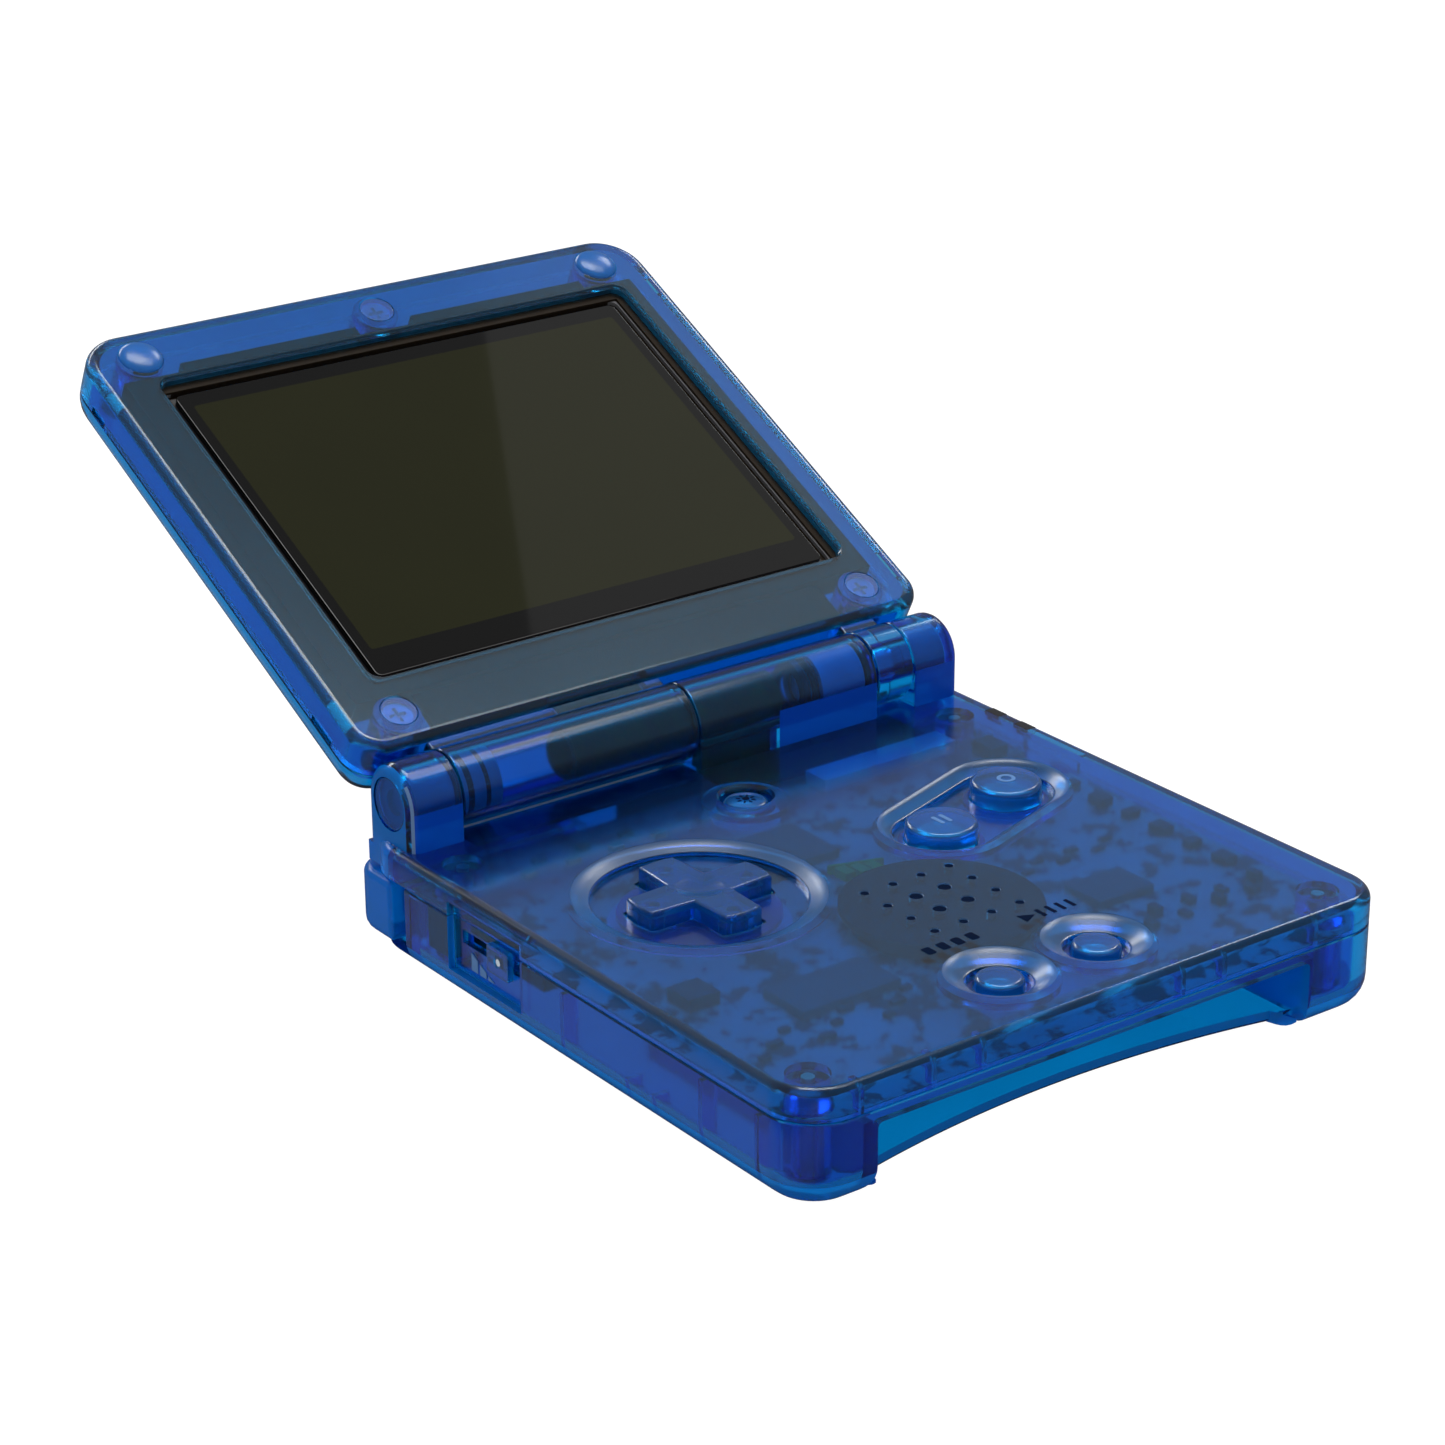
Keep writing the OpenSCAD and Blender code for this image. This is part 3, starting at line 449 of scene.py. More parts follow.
def base_top():
    outer = loft(base_outline, [(0.12, SEAM + 0.05)] + rounding(SEAM + 0.2, TOP, 0, 1.2, 7))
    shell = union(outer, *[knuckle(*k) for k in KNUCKLES],
                  box(-39.8, -36, 36, 41, 10.2, 12.6), box(36, 39.8, 36, 41, 10.2, 12.6))
    plates = [pad(disc(DPAD, 14.8), 12.1, 14), pad(stadium(B_AT, A_AT, 7.9), 11.5, 14),
              pad(disc(START, 6.6), 11.5, 14), pad(disc(SELECT, 6.6), 11.5, 14),
              pad(disc(LIGHT, 5.2), 11.5, 14)]
    plates += [pad(disc(at, 2.4, 24), SEAM - 0.5, 14) for at in CASE_SCREWS]
    plates += [box(x - 0.35, x + 0.35, -40, -38.4, SEAM - 0.5, 14) for x in (-33, -23.6, -17, 10.5, 16.5, 30)]
    hollow = cut(pad(inner_outline, SEAM - 1, TOP - 1.5), *plates)
    tools = [hollow,
             lathe(DPAD, flare(12.35, 13.1, 13.9, 0.75), n=96),
             loft(lambda r: stadium(B_AT, A_AT, r)(0), flare(5.9, 12.7, 7.0, 0.9)),
             lathe(START, flare(3.9, 12.6, 5.7, 0.9)), lathe(SELECT, flare(3.9, 12.6, 5.7, 0.9)),
             lathe(LIGHT, [(2.95, 12.2), (3.0, 13.2), (3.12, 13.55), (3.42, 13.82), (3.42, 15)]),
             pad(cross(DPAD, 8.75, 2.95, 0), 11, 14.5)]
    for at, r in ((A_AT, 4.45), (B_AT, 4.45), (START, 2.95), (SELECT, 2.95), (LIGHT, 2.9)):
        tools.append(lathe(at, [(r, 11), (r, 12.4), (r + 0.15, 12.8), (r + 0.15, 14)]))
    for at, r in SPEAKER_HOLES:
        tools.append(lathe(at, [(r, 11.8), (r, 13.68), (r + 0.12, 13.82), (r + 0.12, 14)], n=20))
    tools += slider_recesses()
    # Room for the lid's barrels, and the bores of the hinge
    tools += [pad(disc((0, 0), 5.0), -32.8, 0.4, place=AXLE), pad(disc((0, 0), 5.0), 27.0, 32.8, place=AXLE),
              pad(disc((0, 0), 3.2, 40), -41, -31.8, place=AXLE),
              pad(disc((0, 0), 3.2, 40), 31.8, 41, place=AXLE),
              pad(disc((0, 0), 3.5, 40), -0.6, 28, place=AXLE),
              box(1.4, 12.6, 34, 35.6, 11.3, 15.6)]
    tools += [box(38.9, 40.3, y - 1.3, y + 1.3, 11.5, 14.6) for y in (19, 24.3)]
    solid = cut(shell, *tools)
    # An edge across the middle knuckle, where the painted shade on its front faces begins
    bmesh.ops.bisect_plane(solid, geom=solid.verts[:] + solid.edges[:] + solid.faces[:],
                           plane_co=(KNUCKLE_SHADING_FROM_X, 0, 0), plane_no=(1, 0, 0))
    return solid


def finishes(obj, mats, choose):
    """Gives each face the one of mats that choose(centre, normal) names, in millimetres."""
    obj.data.materials.clear()
    for mat in mats:
        obj.data.materials.append(mat)
    for poly in obj.data.polygons:
        poly.material_index = mats.index(choose(poly.center / MM, poly.normal))


def top_finish_and_painted_light(c, n):
    knuckle_corner = abs(c.x) > 38.4 and 0.6 < abs(n.x) < 0.8 and n.y < -0.25 and TOP < c.z < HINGE_Z + 3
    knuckle_front = TOP < c.z < HINGE_Z and c.y < HINGE_Y and n.y < -0.5 and abs(n.z) < 0.3
    back_side = abs(n.x) > 0.7 and abs(c.x) > 39 and c.y > 33.5 and c.z > SEAM + 0.1
    back_corner = c.y > 34.8 and abs(c.x) > 35 and abs(n.z) < 0.97 and SEAM + 0.1 < c.z < TOP + 0.05
    rim = 0.25 < n.z < 0.985 and max(abs(c.x), abs(c.y)) < 38.5 and 12.6 < c.z < TOP + 0.01 and c.y < 20
    # Painted highlight on the knuckles' outer corners
    if knuckle_corner:
        return painted_corner_highlight
    # Painted shade on the knuckle fronts: the outer knuckles, and the middle one beyond the edge
    if knuckle_front and (abs(c.x) > 32 or c.x > KNUCKLE_SHADING_FROM_X):
        return knuckle_front_shade
    # Painted light on the sides and corners at the back
    if back_side or back_corner:
        return shoulder_blue_and_painted_light
    if rim:
        return satin_rim
    if c.z > 12 and c.y < -39 and n.y < -0.1:
        return edge_blue
    return frosted if 11 < c.z < TOP + 0.05 and abs(n.z) > 0.2 else clear


top = piece(base_top(), "base_top", "base", "case_blue", frosted, "base_top_shell")
finishes(top, (frosted, clear, satin_rim, edge_blue, shoulder_blue_and_painted_light, knuckle_front_shade, painted_corner_highlight), top_finish_and_painted_light)


# ---------------------------------------------------------------- base, lower shell
SLOT = (-31.5, 28.6)  # the cartridge slot's two ends along x
SLOT_WALL = 1.2
RIBS = ((-32.5, 8.6), (-23.0, 8.6), (-14.8, 3.4), (-10.0, 3.4), (1.8, 8.6))  # y and height
FOOT_ROUNDING = ((-42, 3.4), (-39.6, 2.7), (-38.2, 1.5), (-37.2, 0.2))       # y and radius
ARCH_R, ARCH_RISE = 137, 7.2
DOOR_SCREW = (0, 27.3)


def foot_corner(x, side):
    """Cutter that rounds a foot's lower inner corner, less and less towards the plate."""
    def section(r):
        curve = [(x + side * r * (1 - math.cos(t)), r * (1 - math.sin(t))) for t in quarter_turn(6)]
        return [(x, -0.5), (x - side * 0.6, -0.5), (x - side * 0.6, r)] + curve + [(x + side * r, -0.5)]

    return skin([[(px, y, pz) for px, pz in section(r)] for y, r in FOOT_ROUNDING])


def bottom_room():
    """Hollow of the lower shell, less the walls, ribs and posts that stand in it."""
    hollow = loft(inner_outline, [(d, z + 1.5) for d, z in rounding(0, 2.4, 2.2, 0, 5)] + [(0, SEAM + 1)])
    walls = [box(SLOT[0] - SLOT_WALL, SLOT[0], -41, -4.5, 0, 8.4),
             box(SLOT[1], SLOT[1] + SLOT_WALL, -41, -4.5, 0, 8.4),
             box(SLOT[0], SLOT[1], -5.5, -4.5, 0, 8.4)]
    for side in (-1, 1):
        walls += [side_box(side, 15.4, 39.4, 32.4, 33.6, 0, 9.9),
                  side_box(side, 15.4, 16.6, 32.4, 41, 0, 9.9),
                  side_box(side, 38.2, 39.4, 30, 33.6, 0, 8.9)]
    walls += [pad(disc(at, 2.4, 24), 0, 8.9) for at in CASE_SCREWS]
    for y, z in RIBS:
        walls += [side_box(side, 37.5, 40, y - 0.35, y + 0.35, 0, z) for side in (-1, 1)]
    battery_frame = cut(box(-25.2, 25.2, -3.2, 25.6, 0, 8.4), box(-22.6, 22.6, -1.3, 24.4, -1, 9))
    return cut(cut(hollow, *walls), battery_frame, pad(disc(DOOR_SCREW, 2.2, 24), 0, 6))


def arch_cutter():
    """Cutter for the arched front edge of the plate between the feet."""
    middle = (SLOT[0] + SLOT[1]) / 2
    turns = [math.radians(-12.8 + 25.6 * i / 32) for i in range(33)]
    arch = [(middle + ARCH_R * math.sin(t), -HALF + ARCH_RISE - ARCH_R + ARCH_R * math.cos(t)) for t in turns]
    arch = [(SLOT[0], -42)] + [(x, y) for x, y in arch if SLOT[0] < x < SLOT[1]] + [(SLOT[1], -42)]
    return loft(lambda d: [(x, y + d) for x, y in reversed(arch)],
                [(0.5, -1), (0.5, -0.001), (0.15, 0.25), (0, 0.5), (0, 3)])


def base_bottom():
    outer = loft(base_outline, rounding(0, SEAM - 0.2, 3.6, 0, 8) + [(0.12, SEAM - 0.05)])
    mouth = pad(rrect(SLOT[0], SLOT[1], 1.5, 8.5, 0.6, 4), -42, -38.4, place=ALONG_Y)
    tools = [bottom_room(), arch_cutter(), mouth]
    # Room for the shoulder buttons
    for side in (-1, 1):
        tools += [side_box(side, 16.6, 42, 33.6, 42, 1.3, 11), side_box(side, 39.4, 42, 31.8, 42, 1.3, 11)]
    # Battery opening and screws
    tools += [box(-24, 24, -2.5, 30.1, -1, 1.5), pad(disc(DOOR_SCREW, 0.7, 16), 1, 5)]
    for at in CASE_SCREWS:
        tools += [pad(disc(at, 2.0, 24), -1, 2.4), pad(disc(at, 1.05, 16), 0, 10.5)]
    # Sliders, and the link port and power inlet in the back
    tools += slider_recesses()
    tools += [box(-40.6, -38.4, 10, 21.3, 7.2, 8.8), box(38.4, 40.6, 10.9, 16.7, 7.2, 8.8),
              box(-6.5, 6.5, 38, 42, 2.6, 8.2, r=0.8), box(8.6, 14.4, 38, 42, 2.8, 8, r=1.2)]
    tools += [foot_corner(SLOT[0], -1), foot_corner(SLOT[1], 1)]
    return cut(outer, *tools)


def bottom_finish_and_painted_light(c, n):
    arch_edge = c.z < 1.6 and abs(n.z) < 0.5 and -40.9 < c.y < -33 and SLOT[0] < c.x < SLOT[1]
    from_wall = min(abs(c.x - SLOT[0] + SLOT_WALL / 2), abs(c.x - SLOT[1] - SLOT_WALL / 2))
    foot_wall = abs(n.x) > 0.7 and from_wall < 0.9 and c.y < -4
    ledge = abs(c.x) > 39.9 and 8 < c.y < 23.2 and 3 < c.z < 9.9 and abs(n.x) < 0.5
    low_round = c.z < 3.4 and -0.95 < n.z < -0.12 and max(abs(c.x), abs(c.y)) > 37
    # Painted light on the arch edge, the foot walls, the slider ledges and the low rounded edges
    return shoulder_blue_and_painted_light if arch_edge or foot_wall or ledge or low_round else clear


lower = piece(base_bottom(), "base_bottom", "base", "case_blue", clear, "base_bottom_shell")
finishes(lower, (clear, shoulder_blue_and_painted_light), bottom_finish_and_painted_light)


# ---------------------------------------------------------------- lid
lid_outline = rrect(-HALF, HALF, 4.9, 77.5, (6, 6, 4, 4), 12)
lid_inner = rrect(-HALF + WALL, HALF - WALL, 6.5, 75.9, (4.4, 4.4, 2.4, 2.4), 8)
FACE, LID_SEAM, BACK = 3.7, -1.2, -5.3  # heights in the lid's own frame
BUMPERS = [(-33.8, 72.6), (33.8, 72.6)]
COVERS = [(0, 72.6), (-33.7, 9.6), (33.7, 9.6)]


def lid_front():
    outer = loft(lid_outline, [(0.1, LID_SEAM + 0.04), (0, LID_SEAM + 0.16)]
                 + rounding(0, FACE, 0, 1.3, 7), LID)
    barrels = []
    for x0, x1 in LID_BARRELS:
        barrels.append(pad(disc((0, 0), BARREL_R, 72), x0, x1, 0.25, 0.25, LID_AXLE, 3))
        barrels.append(pad(rrect(x0, x1, 0, 6.5, 0.05, 2), LID_SEAM, 2.7, 0, 0.4, LID, 3))
    shell = union(outer, *barrels)
    hollow = cut(pad(lid_inner, LID_SEAM - 1, FACE - 1.2, place=LID),
                 *[pad(disc(at, 2.9, 28), LID_SEAM - 2, FACE, place=LID) for at in BUMPERS + COVERS])
    window_wall = [(0.25, 0.5), (0.25, FACE - 0.5), (0.0, FACE - 0.25),
                   (-0.15, FACE + 0.01), (-0.15, FACE + 1)]
    window = loft(rrect(-33.95, 35.15, 15.0, 68.4, 1.8, 8), window_wall, LID)
    tools = [hollow, window]
    tools += [pad(disc(at, 2.82, 40), FACE - 1, FACE + 1, place=LID) for at in BUMPERS]
    tools += [pad(disc(at, 2.28, 40), FACE - 1, FACE + 1, place=LID) for at in COVERS]
    for at in BUMPERS + COVERS:
        tools += [pad(disc(at, 0.95, 16), LID_SEAM - 1, FACE, place=LID),
                  pad(disc(at, 1.9, 24), 1.4, FACE - 0.8, place=LID)]
    tools += [pad(disc((0, 0), 3.5, 40), -33.6, 1.2, place=LID_AXLE),
              pad(disc((0, 0), 1.55, 24), 26.2, 33.6, place=LID_AXLE),
              box(-14.6, -1.4, 0, 7.5, 0, 0.9, LID)]
    # Notches along the side seam
    for v0, v1 in ((10.9, 15.4), (67.0, 70.0)):
        tools.append(box(-42, -40.5, v0, v1, -1.3, -0.2, LID))
        tools.append(box(40.5, 42, v0, v1, -1.3, -0.2, LID))
    return cut(shell, *tools)


def lid_back():
    outer = loft(lid_outline, rounding(BACK, LID_SEAM - 0.15, 3.6, 0, 8) + [(0.1, LID_SEAM - 0.03)], LID)
    inner_wall = [(d, z + 1.3) for d, z in rounding(BACK, BACK + 2.2, 2.0, 0, 5)]
    inner = loft(lid_inner, inner_wall + [(0, LID_SEAM + 1)], LID)
    hollow = cut(inner, *[pad(disc(at, 2.9, 28), BACK, LID_SEAM, place=LID) for at in BUMPERS + COVERS])
    return cut(outer, hollow, *[pad(disc(at, 0.78, 16), -4, 0, place=LID) for at in BUMPERS + COVERS])


AXIS_AT = Vector((0, HINGE_Y, HINGE_Z))
lid_up = (LID.to_3x3() @ Vector((0, 0, 1))).normalized()
lid_along = (LID.to_3x3() @ Vector((0, 1, 0))).normalized()


def lid_finish_and_painted_shade(c, n):
    along, height, lean = (c - AXIS_AT).dot(lid_along), (c - AXIS_AT).dot(lid_up), n.dot(lid_up)
    if height > 2.3 and 0.15 < lean < 0.97 and (abs(c.x) > 38.9 or along > 75.5) and along > 7:
        return soft_edge
    # Painted shade on the walls of the screen window
    if abs(lean) < 0.7 and abs(c.x) < 35.5 and 14.4 < along < 68.9 and height > 0:
        return window_lip_shade
    return frosted_lid if abs(lean) > 0.2 and along > 5 else clear


lid = piece(lid_front(), "lid_front", "lid", "case_blue", frosted_lid, "lid_front_shell")
finishes(lid, (frosted_lid, clear, soft_edge, window_lip_shade), lid_finish_and_painted_shade)
piece(lid_back(), "lid_back", "lid", "case_blue", clear, "lid_back_shell")

# Screw covers and bumpers
piece(joined(*[pad(disc(at, 2.2, 48), FACE - 0.9, FACE, 0, 0.12, LID, 3) for at in COVERS]),
      "covers", "lid", "key_blue", keys, "screw_covers")
dome = [(2.75, FACE - 0.9), (2.75, FACE)]
dome += [(2.7 * math.cos(t), FACE + 0.76 * math.sin(t)) for t in quarter_turn(10)[1:-1]]
dome += [(0.03, FACE + 0.77)]
piece(joined(*[lathe(at, dome, LID, 48) for at in BUMPERS]),
      "bumpers", "lid", "key_blue", cap_blue, "lid_bumpers")

# Screen: black border with the display set in it, under one polished surface
lens = pad(rrect(-32.5, 32.5, 16, 66, 0.8, 5), 1.9, 2.67, 0, 0.12, LID, 2)
piece(lens, "lens", "lid", "screen_glass", glass_border, "screen_lens")
view_area = pad(rrect(-31.05, 31.05, 20.1, 63.8, 0.5, 5), 2.6, 2.672, place=LID)
piece(view_area, "display_area", "lid", "lcd_dark", display)

# Grey step around the screen
step = cut(pad(rrect(-33.5, 34.2, 15.3, 67.5, 1.2, 6), 1.5, 2.0, place=LID),
           pad(rrect(-33.2, 33.8, 15.6, 67.1, 1.0, 6), 1.0, 2.5, place=LID))
piece(step, "screen_step", "lid", "frame_grey", step_grey)

# Dark ring below the gap around the screen: painted shade for the shadow in that gap
gap_shade = cut(pad(rrect(-33.9, 33.9, 15.0, 67.0, 0.5, 4), 1.0, 1.4, place=LID),
           pad(rrect(-32.95, 32.95, 15.55, 66.45, 0.3, 4), 0.5, 2.0, place=LID))
piece(gap_shade, "screen_gap_shade", "lid", "frame_grey", module_grey_and_gap_shade)

# Upper part of the display module, either side of the middle screw
rails = [box(-29, -3.9, 69.7, 71.1, 1.0, 2.3, LID), box(4.3, 30.4, 69.7, 71.1, 1.0, 2.3, LID)]
piece(joined(*rails), "module_rail", "lid", "frame_grey", module_grey_and_gap_shade)


# ---------------------------------------------------------------- controls
def pressed(sphere_r, depth, z):
    """Shallow spherical hollow for a thumb, as a solid of revolution."""
    edge = math.sqrt(sphere_r ** 2 - (sphere_r - depth) ** 2)
    prof = [(0.02, z - depth)]
    for i in range(1, 9):
        r = edge * i / 8
        prof.append((r, z - depth + sphere_r - math.sqrt(sphere_r ** 2 - r * r)))
    prof += [(edge + 0.3, z + 0.02), (edge + 0.3, z + 1)]
    return prof


dpad_body = pad(cross(DPAD, 8.45, 2.65, 2), 11.0, 14.5, 0, 0.35, n=4)
dpad_body = cut(dpad_body, lathe(DPAD, pressed(10, 0.45, 14.5)))
dpad_body = cut(dpad_body, pad(cross(DPAD, 7.5, 1.75, 2), 11.6, 13.3), pad(disc(DPAD, 1.2, 24), 11.6, 13.3))
dpad_body = union(dpad_body, lathe(DPAD, [(9.2, 10.83), (9.2, 11.33)]))
for angle in (0, math.pi / 2, math.pi, math.pi * 1.5):
    at = (DPAD[0] + 6.4 * math.cos(angle), DPAD[1] + 6.4 * math.sin(angle))
    dpad_body = union(dpad_body, pad(disc(at, 0.9, 20), 11.5, 13.4))
dpad_body = cut(dpad_body, pad(disc(DPAD, 4.0, 40), 10.0, 11.13))
piece(dpad_body, "direction_cross", "direction_pad", "key_blue", keys, "dpad_cross")


def round_key(at, r, top, dome_h, name, body, node):
    """Key with a flange under the case, a rounded rim of 0.55 and a shallow dome."""
    flange, rim = r + 0.8, r - 0.55
    prof = [(flange, 10.9), (flange, 11.4), (r, 11.4), (r, top - 0.75)]
    prof += [(rim + 0.55 * math.cos(t), top - 0.75 + 0.6 * math.sin(t)) for t in quarter_turn(6)[1:]]
    prof += [(rim * (1 - i / 5) + 0.03, top - 0.15 + dome_h * (1 - (1 - i / 5) ** 2)) for i in range(1, 6)]
    return piece(lathe(at, prof), name, body, "key_blue", keys, node)


round_key(A_AT, 4.2, 14.4, 0.14, "key_a", "a_key", "a_button")
round_key(B_AT, 4.2, 14.4, 0.14, "key_b", "b_key", "b_button")
round_key(START, 2.7, 13.4, 0.12, "key_start", "start_key", "start_button")
round_key(SELECT, 2.7, 13.4, 0.12, "key_select", "select_key", "select_button")
round_key(LIGHT, 2.65, 13.4, 0.1, "key_light", "light_key", "light_button")


def shoulder(side, name, body, node):
    """Shoulder button, hollow inside, with a pin hole that is wider at its upper end."""
    radii = (4.0, 0.6, 0.6, 0.6) if side > 0 else (0.6, 4.0, 0.6, 0.6)
    low, high = sorted((side * 17.0, side * HALF))
    solid = pad(rrect(low, high, 35.0, 43.2, radii, 8), 1.7, 9.6, 1.6, 0.9)
    pin = (side * 19, 38.2)
    solid = cut(solid, pad(disc(pin, 0.95, 20), 0, 11), pad(disc(pin, 2, 24), 7.9, 11),
                side_box(side, 24, 37, 36.4, 41.4, 3.2, 8.2))
    return piece(solid, name, body, "key_blue", shoulder_blue_and_painted_light, node)


shoulder(-1, "shoulder_left", "left_shoulder", "left_shoulder_button")
shoulder(1, "shoulder_right", "right_shoulder", "right_shoulder_button")


def slide_cap(side, y, z, length, name, body, node):
    """Thin cap with a bevelled rim and a round dimple, on its stem, with a white dot in the dimple that is a
    painted highlight.
    """
    face = ALONG_X if side > 0 else MIRROR @ ALONG_X
    cap = pad(rrect(y - length / 2, y + length / 2, z - 1.7, z + 1.7, 0.3, 3), 40.25, 41.0, 0, 0.15, face, 2)
    cap = cut(cap, lathe((y, z), pressed(0.9, 0.25, 41.0), face, 24))
    stem = pad(rrect(y - 0.8, y + 0.8, z - 0.6, z + 0.6, 0.1, 2), 36, 40.4, place=face)
    plate = pad(rrect(y - 1.8, y + 1.8, z - 1.3, z + 1.3, 0.1, 2), 38.65, 39.25, place=face)
    # White dot in the dimple: a painted highlight
    piece(pad(disc((y, z), 0.42, 20), 40.7, 40.86, place=face), name + "_dot", body, "key_blue", painted_dot_highlight)
    return piece(union(cap, stem, plate), name, body, "key_blue", keys, node)


slide_cap(-1, 13.2, 8.0, 4.2, "volume_cap", "volume_knob", "volume_slider")
slide_cap(1, 12.2, 8.0, 4.6, "power_cap", "power_knob", "power_slider")


# ---------------------------------------------------------------- small marks and parts seen through the case
def flat(points, z0, z1, place=HERE):
    return loft(lambda d: points, [(0, z0), (0, z1)], place)


# Dark plugs inside the speaker holes: painted shade
holes = [pad(disc(at, r - 0.01, 20), 12.28, 13.72) for at, r in SPEAKER_HOLES]
piece(joined(*holes), "hole_shade", "base", "gasket_grey", print_and_shade_dark)

# Plain marks beside the start and select keys
PRINT = (TOP - 0.01, TOP + 0.04)
key_marks = [flat([(3.6, -23.0), (5.4, -22.1), (3.6, -21.2)], *PRINT)]
key_marks += [pad(rrect(x, x + 0.5, -23.0, -21.2, 0.1, 2), *PRINT) for x in (6.0, 7.4, 8.8, 10.2)]
key_marks += [pad(rrect(x, x + 1.1, -22.9, -21.3, 0.2, 2), *PRINT) for x in (-10.0, -8.0, -6.0, -4.0)]
piece(joined(*key_marks), "key_marks", "base", "socket_black", print_and_shade_dark)

# A rayed dot on the light key, a ring and two bars on the round keys
sun = [pad(disc(LIGHT, 0.42, 20), 13.4, 13.45)]
for i in range(8):
    turn = math.pi / 4 * i
    ray = [(0.65, 0.1), (0.65, -0.1), (1.15, -0.1), (1.15, 0.1)]
    sun.append(flat([(LIGHT[0] + u * math.cos(turn) - v * math.sin(turn),
                      LIGHT[1] + u * math.sin(turn) + v * math.cos(turn)) for u, v in ray], 13.3, 13.4))
piece(joined(*sun), "sun_mark", "light_key", "socket_black", print_and_shade_dark)
KEY_PRINT = (14.3, 14.43)
ring_mark = cut(pad(disc(A_AT, 1.1, 40), *KEY_PRINT), pad(disc(A_AT, 0.65, 32), 14.0, 15))
piece(ring_mark, "ring_mark", "a_key", "key_blue", mark_pale)
bars = [pad(rrect(x - 0.25, x + 0.25, B_AT[1] - 1.1, B_AT[1] + 1.1, 0.2, 3), *KEY_PRINT)
        for x in (B_AT[0] - 0.55, B_AT[0] + 0.55)]
piece(joined(*bars), "bars_mark", "b_key", "key_blue", mark_pale)

# Volume wedge on the left side: from y, to y, and the heights there
WEDGE_STEPS = ((18.3, 19.5, 6.0, 6.6), (16.6, 17.8, 5.2, 5.8), (15.2, 16.2, 4.6, 5.0))
steps = [flat([(y0, 4.5), (y1, 4.5), (y1, z1), (y0, z0)], 40.05, 40.2, MIRROR @ ALONG_X)
         for y0, y1, z0, z1 in WEDGE_STEPS]
piece(joined(*steps), "wedge_mark", "base", "key_blue", mark_pale)

# Seen through the top and the left side: green contact pads, and a dark block in the corner
pads = [box(-3.4 + 1.7 * i, -2.0 + 1.7 * i, -0.5 - 0.55 * i, 1.7 - 0.55 * i, 11.2, 12.2) for i in range(3)]
pads.append(flat([(-3.6, 2.3), (2.6, 0.3), (2.6, 0.7), (-3.6, 2.7)], 11.2, 12.2))
piece(joined(*pads), "green_pads", "base", "board_green", pad_green)
piece(box(-39.2, -38.35, 23.6, 28.3, 4.2, 9.2), "corner_block", "base", "socket_black", black)

# Seen through the hinge barrels and behind the board
base_rings = [ring(3.46, 2.4, x0, x1, AXLE) for x0, x1 in ((16.4, 17.3), (18.3, 18.7), (26.0, 26.6))]
piece(joined(*base_rings), "hinge_rings", "base", "hinge_grey", black)
piece(ring(3.4, 2.4, 19.2, 25.6, AXLE), "hinge_sleeve", "base", "hinge_grey", white)
piece(box(-31, 0.9, 31.9, 38.6, 11.5, 12.0), "rear_plate", "base", "board_green", board)
lid_rings = [ring(3.46, 2.4, x0, x1, AXLE) for x0, x1 in ((-31.6, -30.8), (-29.2, -28.6))]
piece(joined(*lid_rings), "hinge_rings_lid", "lid", "hinge_grey", black)

plugs = [pad(disc((0, 0), 3.14, 48), 38.3, 39.7, 0, 0.25, face, 3) for face in (MIRROR @ AXLE, AXLE)]
piece(joined(*plugs), "end_plugs", "base", "key_blue", clear, "hinge_end_plugs")

# ---------------------------------------------------------------- CAD nodes that keep their own shape
LOOKS = {
    clear: ["battery_door"],
    steel: ["battery_door_screw", "shoulder_pins", "shoulder_springs", "case_screws", "lid_screws",
            "hinge_pin", "dpad_pivot"],
    battery: ["battery_pack"],
    gold: ["battery_contacts", "connector_pins"],
    board: ["main_board"],
    shield: ["board_shield"],
    chip: ["main_processor", "memory_chip", "audio_chip"],
    tan: ["board_components"],
    black: ["speaker", "cartridge_connector", "volume_pot", "power_switch", "link_port", "power_inlet",
            "lcd_panel"],
    felt: ["speaker_gasket"],
    white: ["dpad_membrane", "action_membrane", "start_select_membrane", "light_membrane",
            "indicator_leds", "display_connector", "light_guide"],
    smoke: ["indicator_windows"],
    hinge_pale: ["shoulder_switches", "hinge_click_unit", "hinge_bush", "hinge_cam"],
    flex: ["display_ribbon", "lid_ribbon"],
    module_grey_and_gap_shade: ["lcd_frame", "lid_board"],
}
for mat, name in [(mat, name) for mat, names in LOOKS.items() for name in names]:
    obj = frame["nodes"][name]
    obj.data.materials.clear()
    obj.data.materials.append(mat)
    edge = obj.modifiers.new("edges", "BEVEL")
    edge.width = 0.00012
    edge.segments = 2
    edge.limit_method = "ANGLE"
    edge.angle_limit = math.radians(40)


# ---------------------------------------------------------------- floor, light, camera
def stage_mesh(name, corners, mat):
    """One flat face of the studio, in metres."""
    bm = bmesh.new()
    bm.faces.new([bm.verts.new(Vector(c)) for c in corners])
    mesh = bpy.data.meshes.new(name)
    bm.to_mesh(mesh)
    bm.free()
    obj = bpy.data.objects.new(name, mesh)
    bpy.context.scene.collection.objects.link(obj)
    obj.data.materials.append(mat)
    return obj


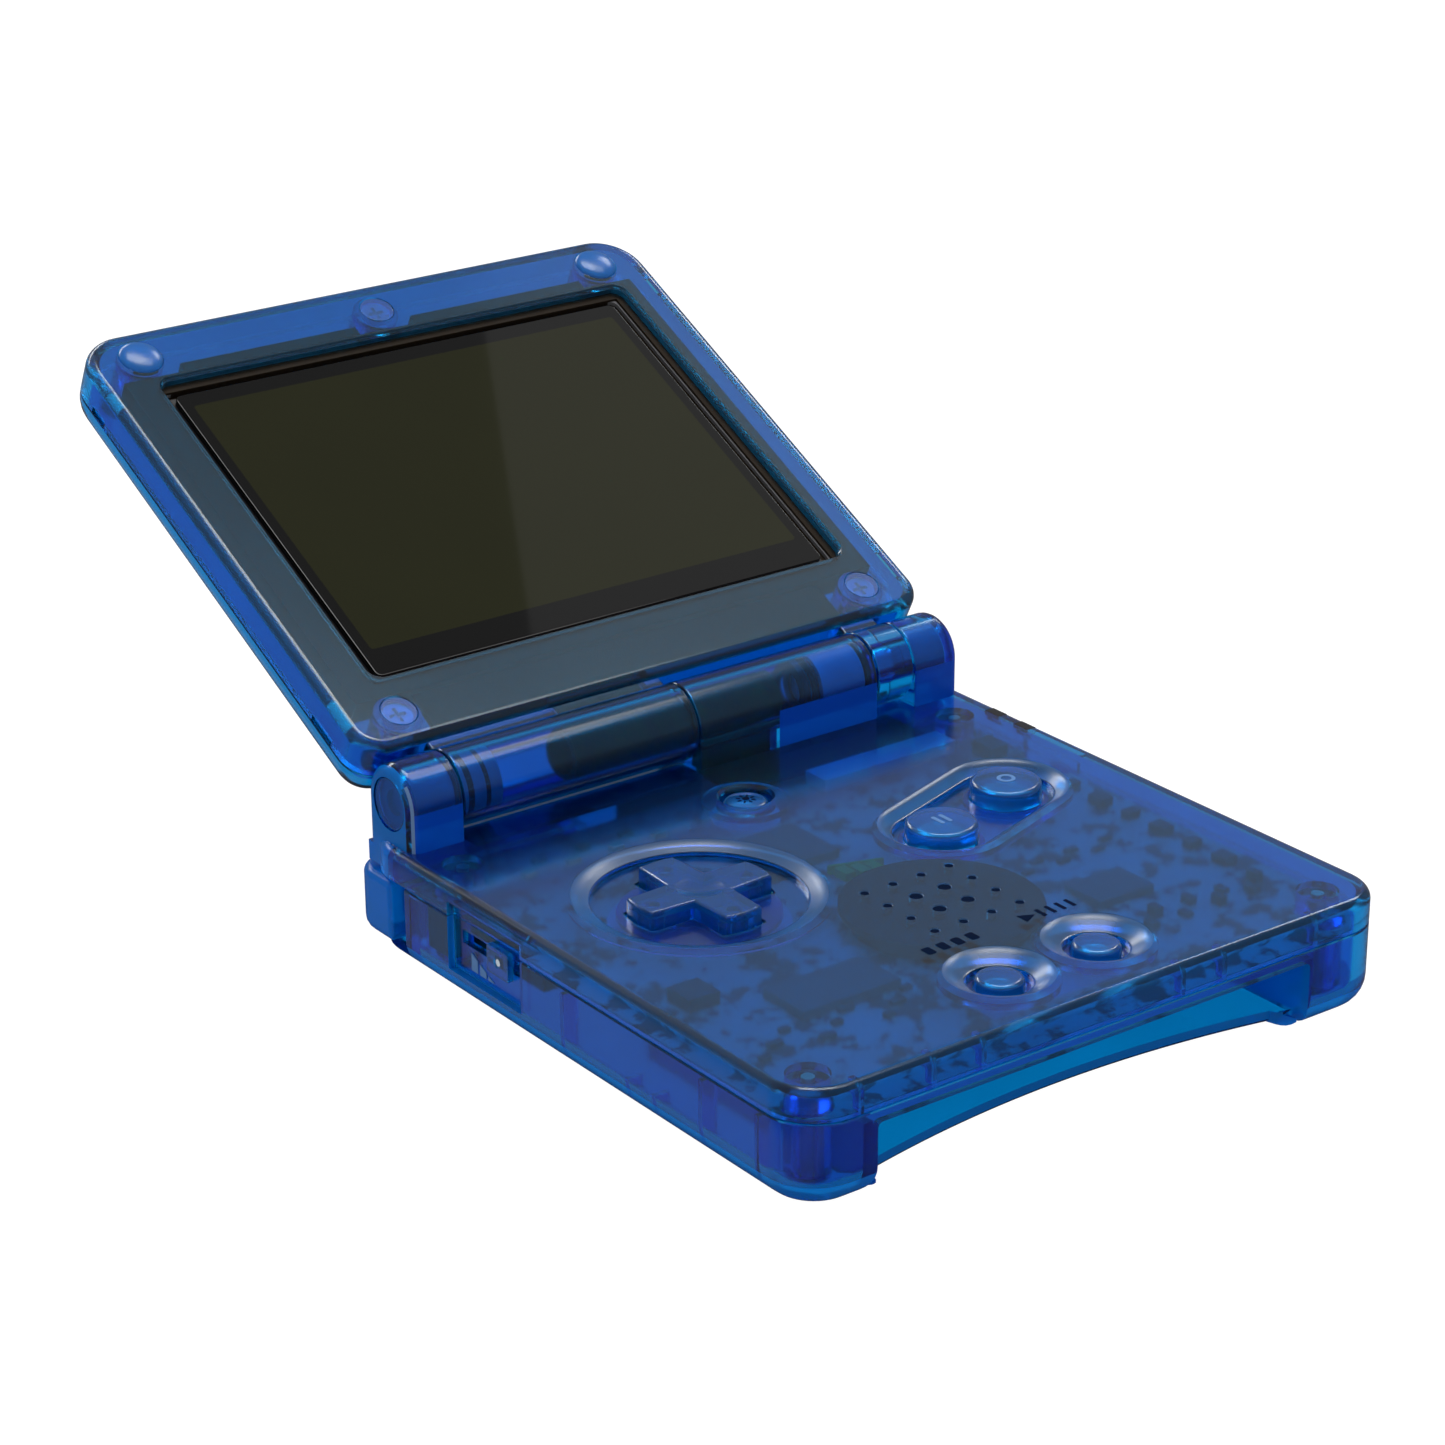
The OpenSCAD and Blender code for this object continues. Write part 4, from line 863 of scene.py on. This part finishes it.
def by_ray(tree, camera, passed, reflected, target, strip=None):
    """Gives target a brightness for camera rays, one for rays through the plastic and one for reflections.

    strip = (x0, x1, bright): reflections show this brightness between x0 and x1, in metres.
    """
    if strip:
        x0, x1, bright = strip
        middle, half, soft = (x0 + x1) / 2, (x1 - x0) / 2, 0.002
        place = add_node(tree, "TexCoord").outputs["Object"]
        across = add_node(tree, "SeparateXYZ", Vector=place).outputs["X"]
        off = add_math(tree, "ABSOLUTE", add_math(tree, "SUBTRACT", across, middle))
        band = add_node(tree, "MapRange", Value=off, From_Min=half - soft, From_Max=half + soft,
                        To_Min=bright, To_Max=reflected)
        band.interpolation_type = "SMOOTHSTEP"
        reflected = band.outputs["Result"]
    ray = add_node(tree, "LightPath").outputs
    through = add_math(tree, "MAXIMUM", ray["Is Transmission Ray"], ray["Is Diffuse Ray"])
    bounced = add_node(tree, "Mix", Factor=through, A=reflected, B=passed).outputs["Result"]
    seen = add_node(tree, "Mix", Factor=ray["Is Camera Ray"], A=bounced, B=camera).outputs["Result"]
    tree.links.new(seen, target)


FLOOR_REACH, FLOOR_Z = 4, -0.0002  # metres
floor_mat = bpy.data.materials.new("studio_floor")
floor_mat.use_nodes = True
floor_shader = floor_mat.node_tree.nodes["Principled BSDF"]
feed(floor_mat.node_tree, floor_shader, Base_Color=(0.10, 0.10, 0.10, 1), Roughness=0.9,
     Emission_Color=(1, 1, 1, 1))
by_ray(floor_mat.node_tree, 1.0, 0.5, 0.01, floor_shader.inputs["Emission Strength"],
       strip=(-0.0555, -0.0425, 0.16))
stage_mesh("floor", [(-FLOOR_REACH, -FLOOR_REACH, FLOOR_Z), (FLOOR_REACH, -FLOOR_REACH, FLOOR_Z),
                     (FLOOR_REACH, FLOOR_REACH, FLOOR_Z), (-FLOOR_REACH, FLOOR_REACH, FLOOR_Z)], floor_mat)

world = bpy.data.worlds.new("studio")
bpy.context.scene.world = world
world.use_nodes = True
world.node_tree.nodes.clear()
sky = add_node(world.node_tree, "Background", Color=(1, 1, 1, 1))
by_ray(world.node_tree, 1.0, 0.60, 0.20, sky.inputs["Strength"])
add_node(world.node_tree, "OutputWorld", Surface=sky.outputs["Background"])


def softbox(name, at, target, size, power):
    """Area light at a place in metres, turned to its target."""
    light = bpy.data.lights.new(name, "AREA")
    light.shape = "RECTANGLE"
    light.size, light.size_y = size
    light.energy = power
    obj = bpy.data.objects.new(name, light)
    bpy.context.scene.collection.objects.link(obj)
    obj.location = at
    obj.rotation_euler = (Vector(target) - Vector(at)).to_track_quat("-Z", "Y").to_euler()
    return obj


softbox("overhead", (0.18, 0.18, 1.1), (0, 0, 0), (0.5, 0.42), 3.6)
softbox("right", (1.0, 0.45, 0.9), (0, 0, 0), (0.36, 0.26), 1.8)
softbox("rear", (-0.02, 1.00, 0.55), (0, 0, 0), (0.7, 0.2), 2.6)
softbox("lid_card", (0.42, -0.02, 1.0), (0, 0.03, 0.03), (0.4, 0.36), 1.25)

lens_card = softbox("lens_card", (0.754, 0.293, 1.0), (0.754, 0.293, 0), (0.3, 0.5), 0.09)
lens_card.rotation_euler = (0, 0, math.radians(-14))

camera = bpy.data.cameras.new("camera")
camera.sensor_width = 36
camera.lens = 97.01
camera.clip_start = 0.01
camera_obj = bpy.data.objects.new("camera", camera)
bpy.context.scene.collection.objects.link(camera_obj)
# Fitted to the photograph: direction from the object back to the camera, roll, place and focal length
back = Vector((-0.5526, -0.7408, 0.3820)).normalized()
right = Vector((0, 0, 1)).cross(back).normalized()
up = back.cross(right)
roll = math.radians(-0.27)
cam_x = right * math.cos(roll) + up * math.sin(roll)
cam_y = -right * math.sin(roll) + up * math.cos(roll)
eye = Vector((-249.25, -307.23, 193.84)) * MM
turned = Matrix((cam_x, cam_y, back)).transposed().to_4x4()
camera_obj.matrix_world = Matrix.Translation(eye) @ turned
scene = bpy.context.scene
scene.camera = camera_obj
scene.view_settings.view_transform = "Standard"
scene.cycles.max_bounces = 16
scene.cycles.transmission_bounces = 14
scene.cycles.transparent_max_bounces = 16
scene.cycles.sample_clamp_indirect = 4
scene.cycles.caustics_refractive = True
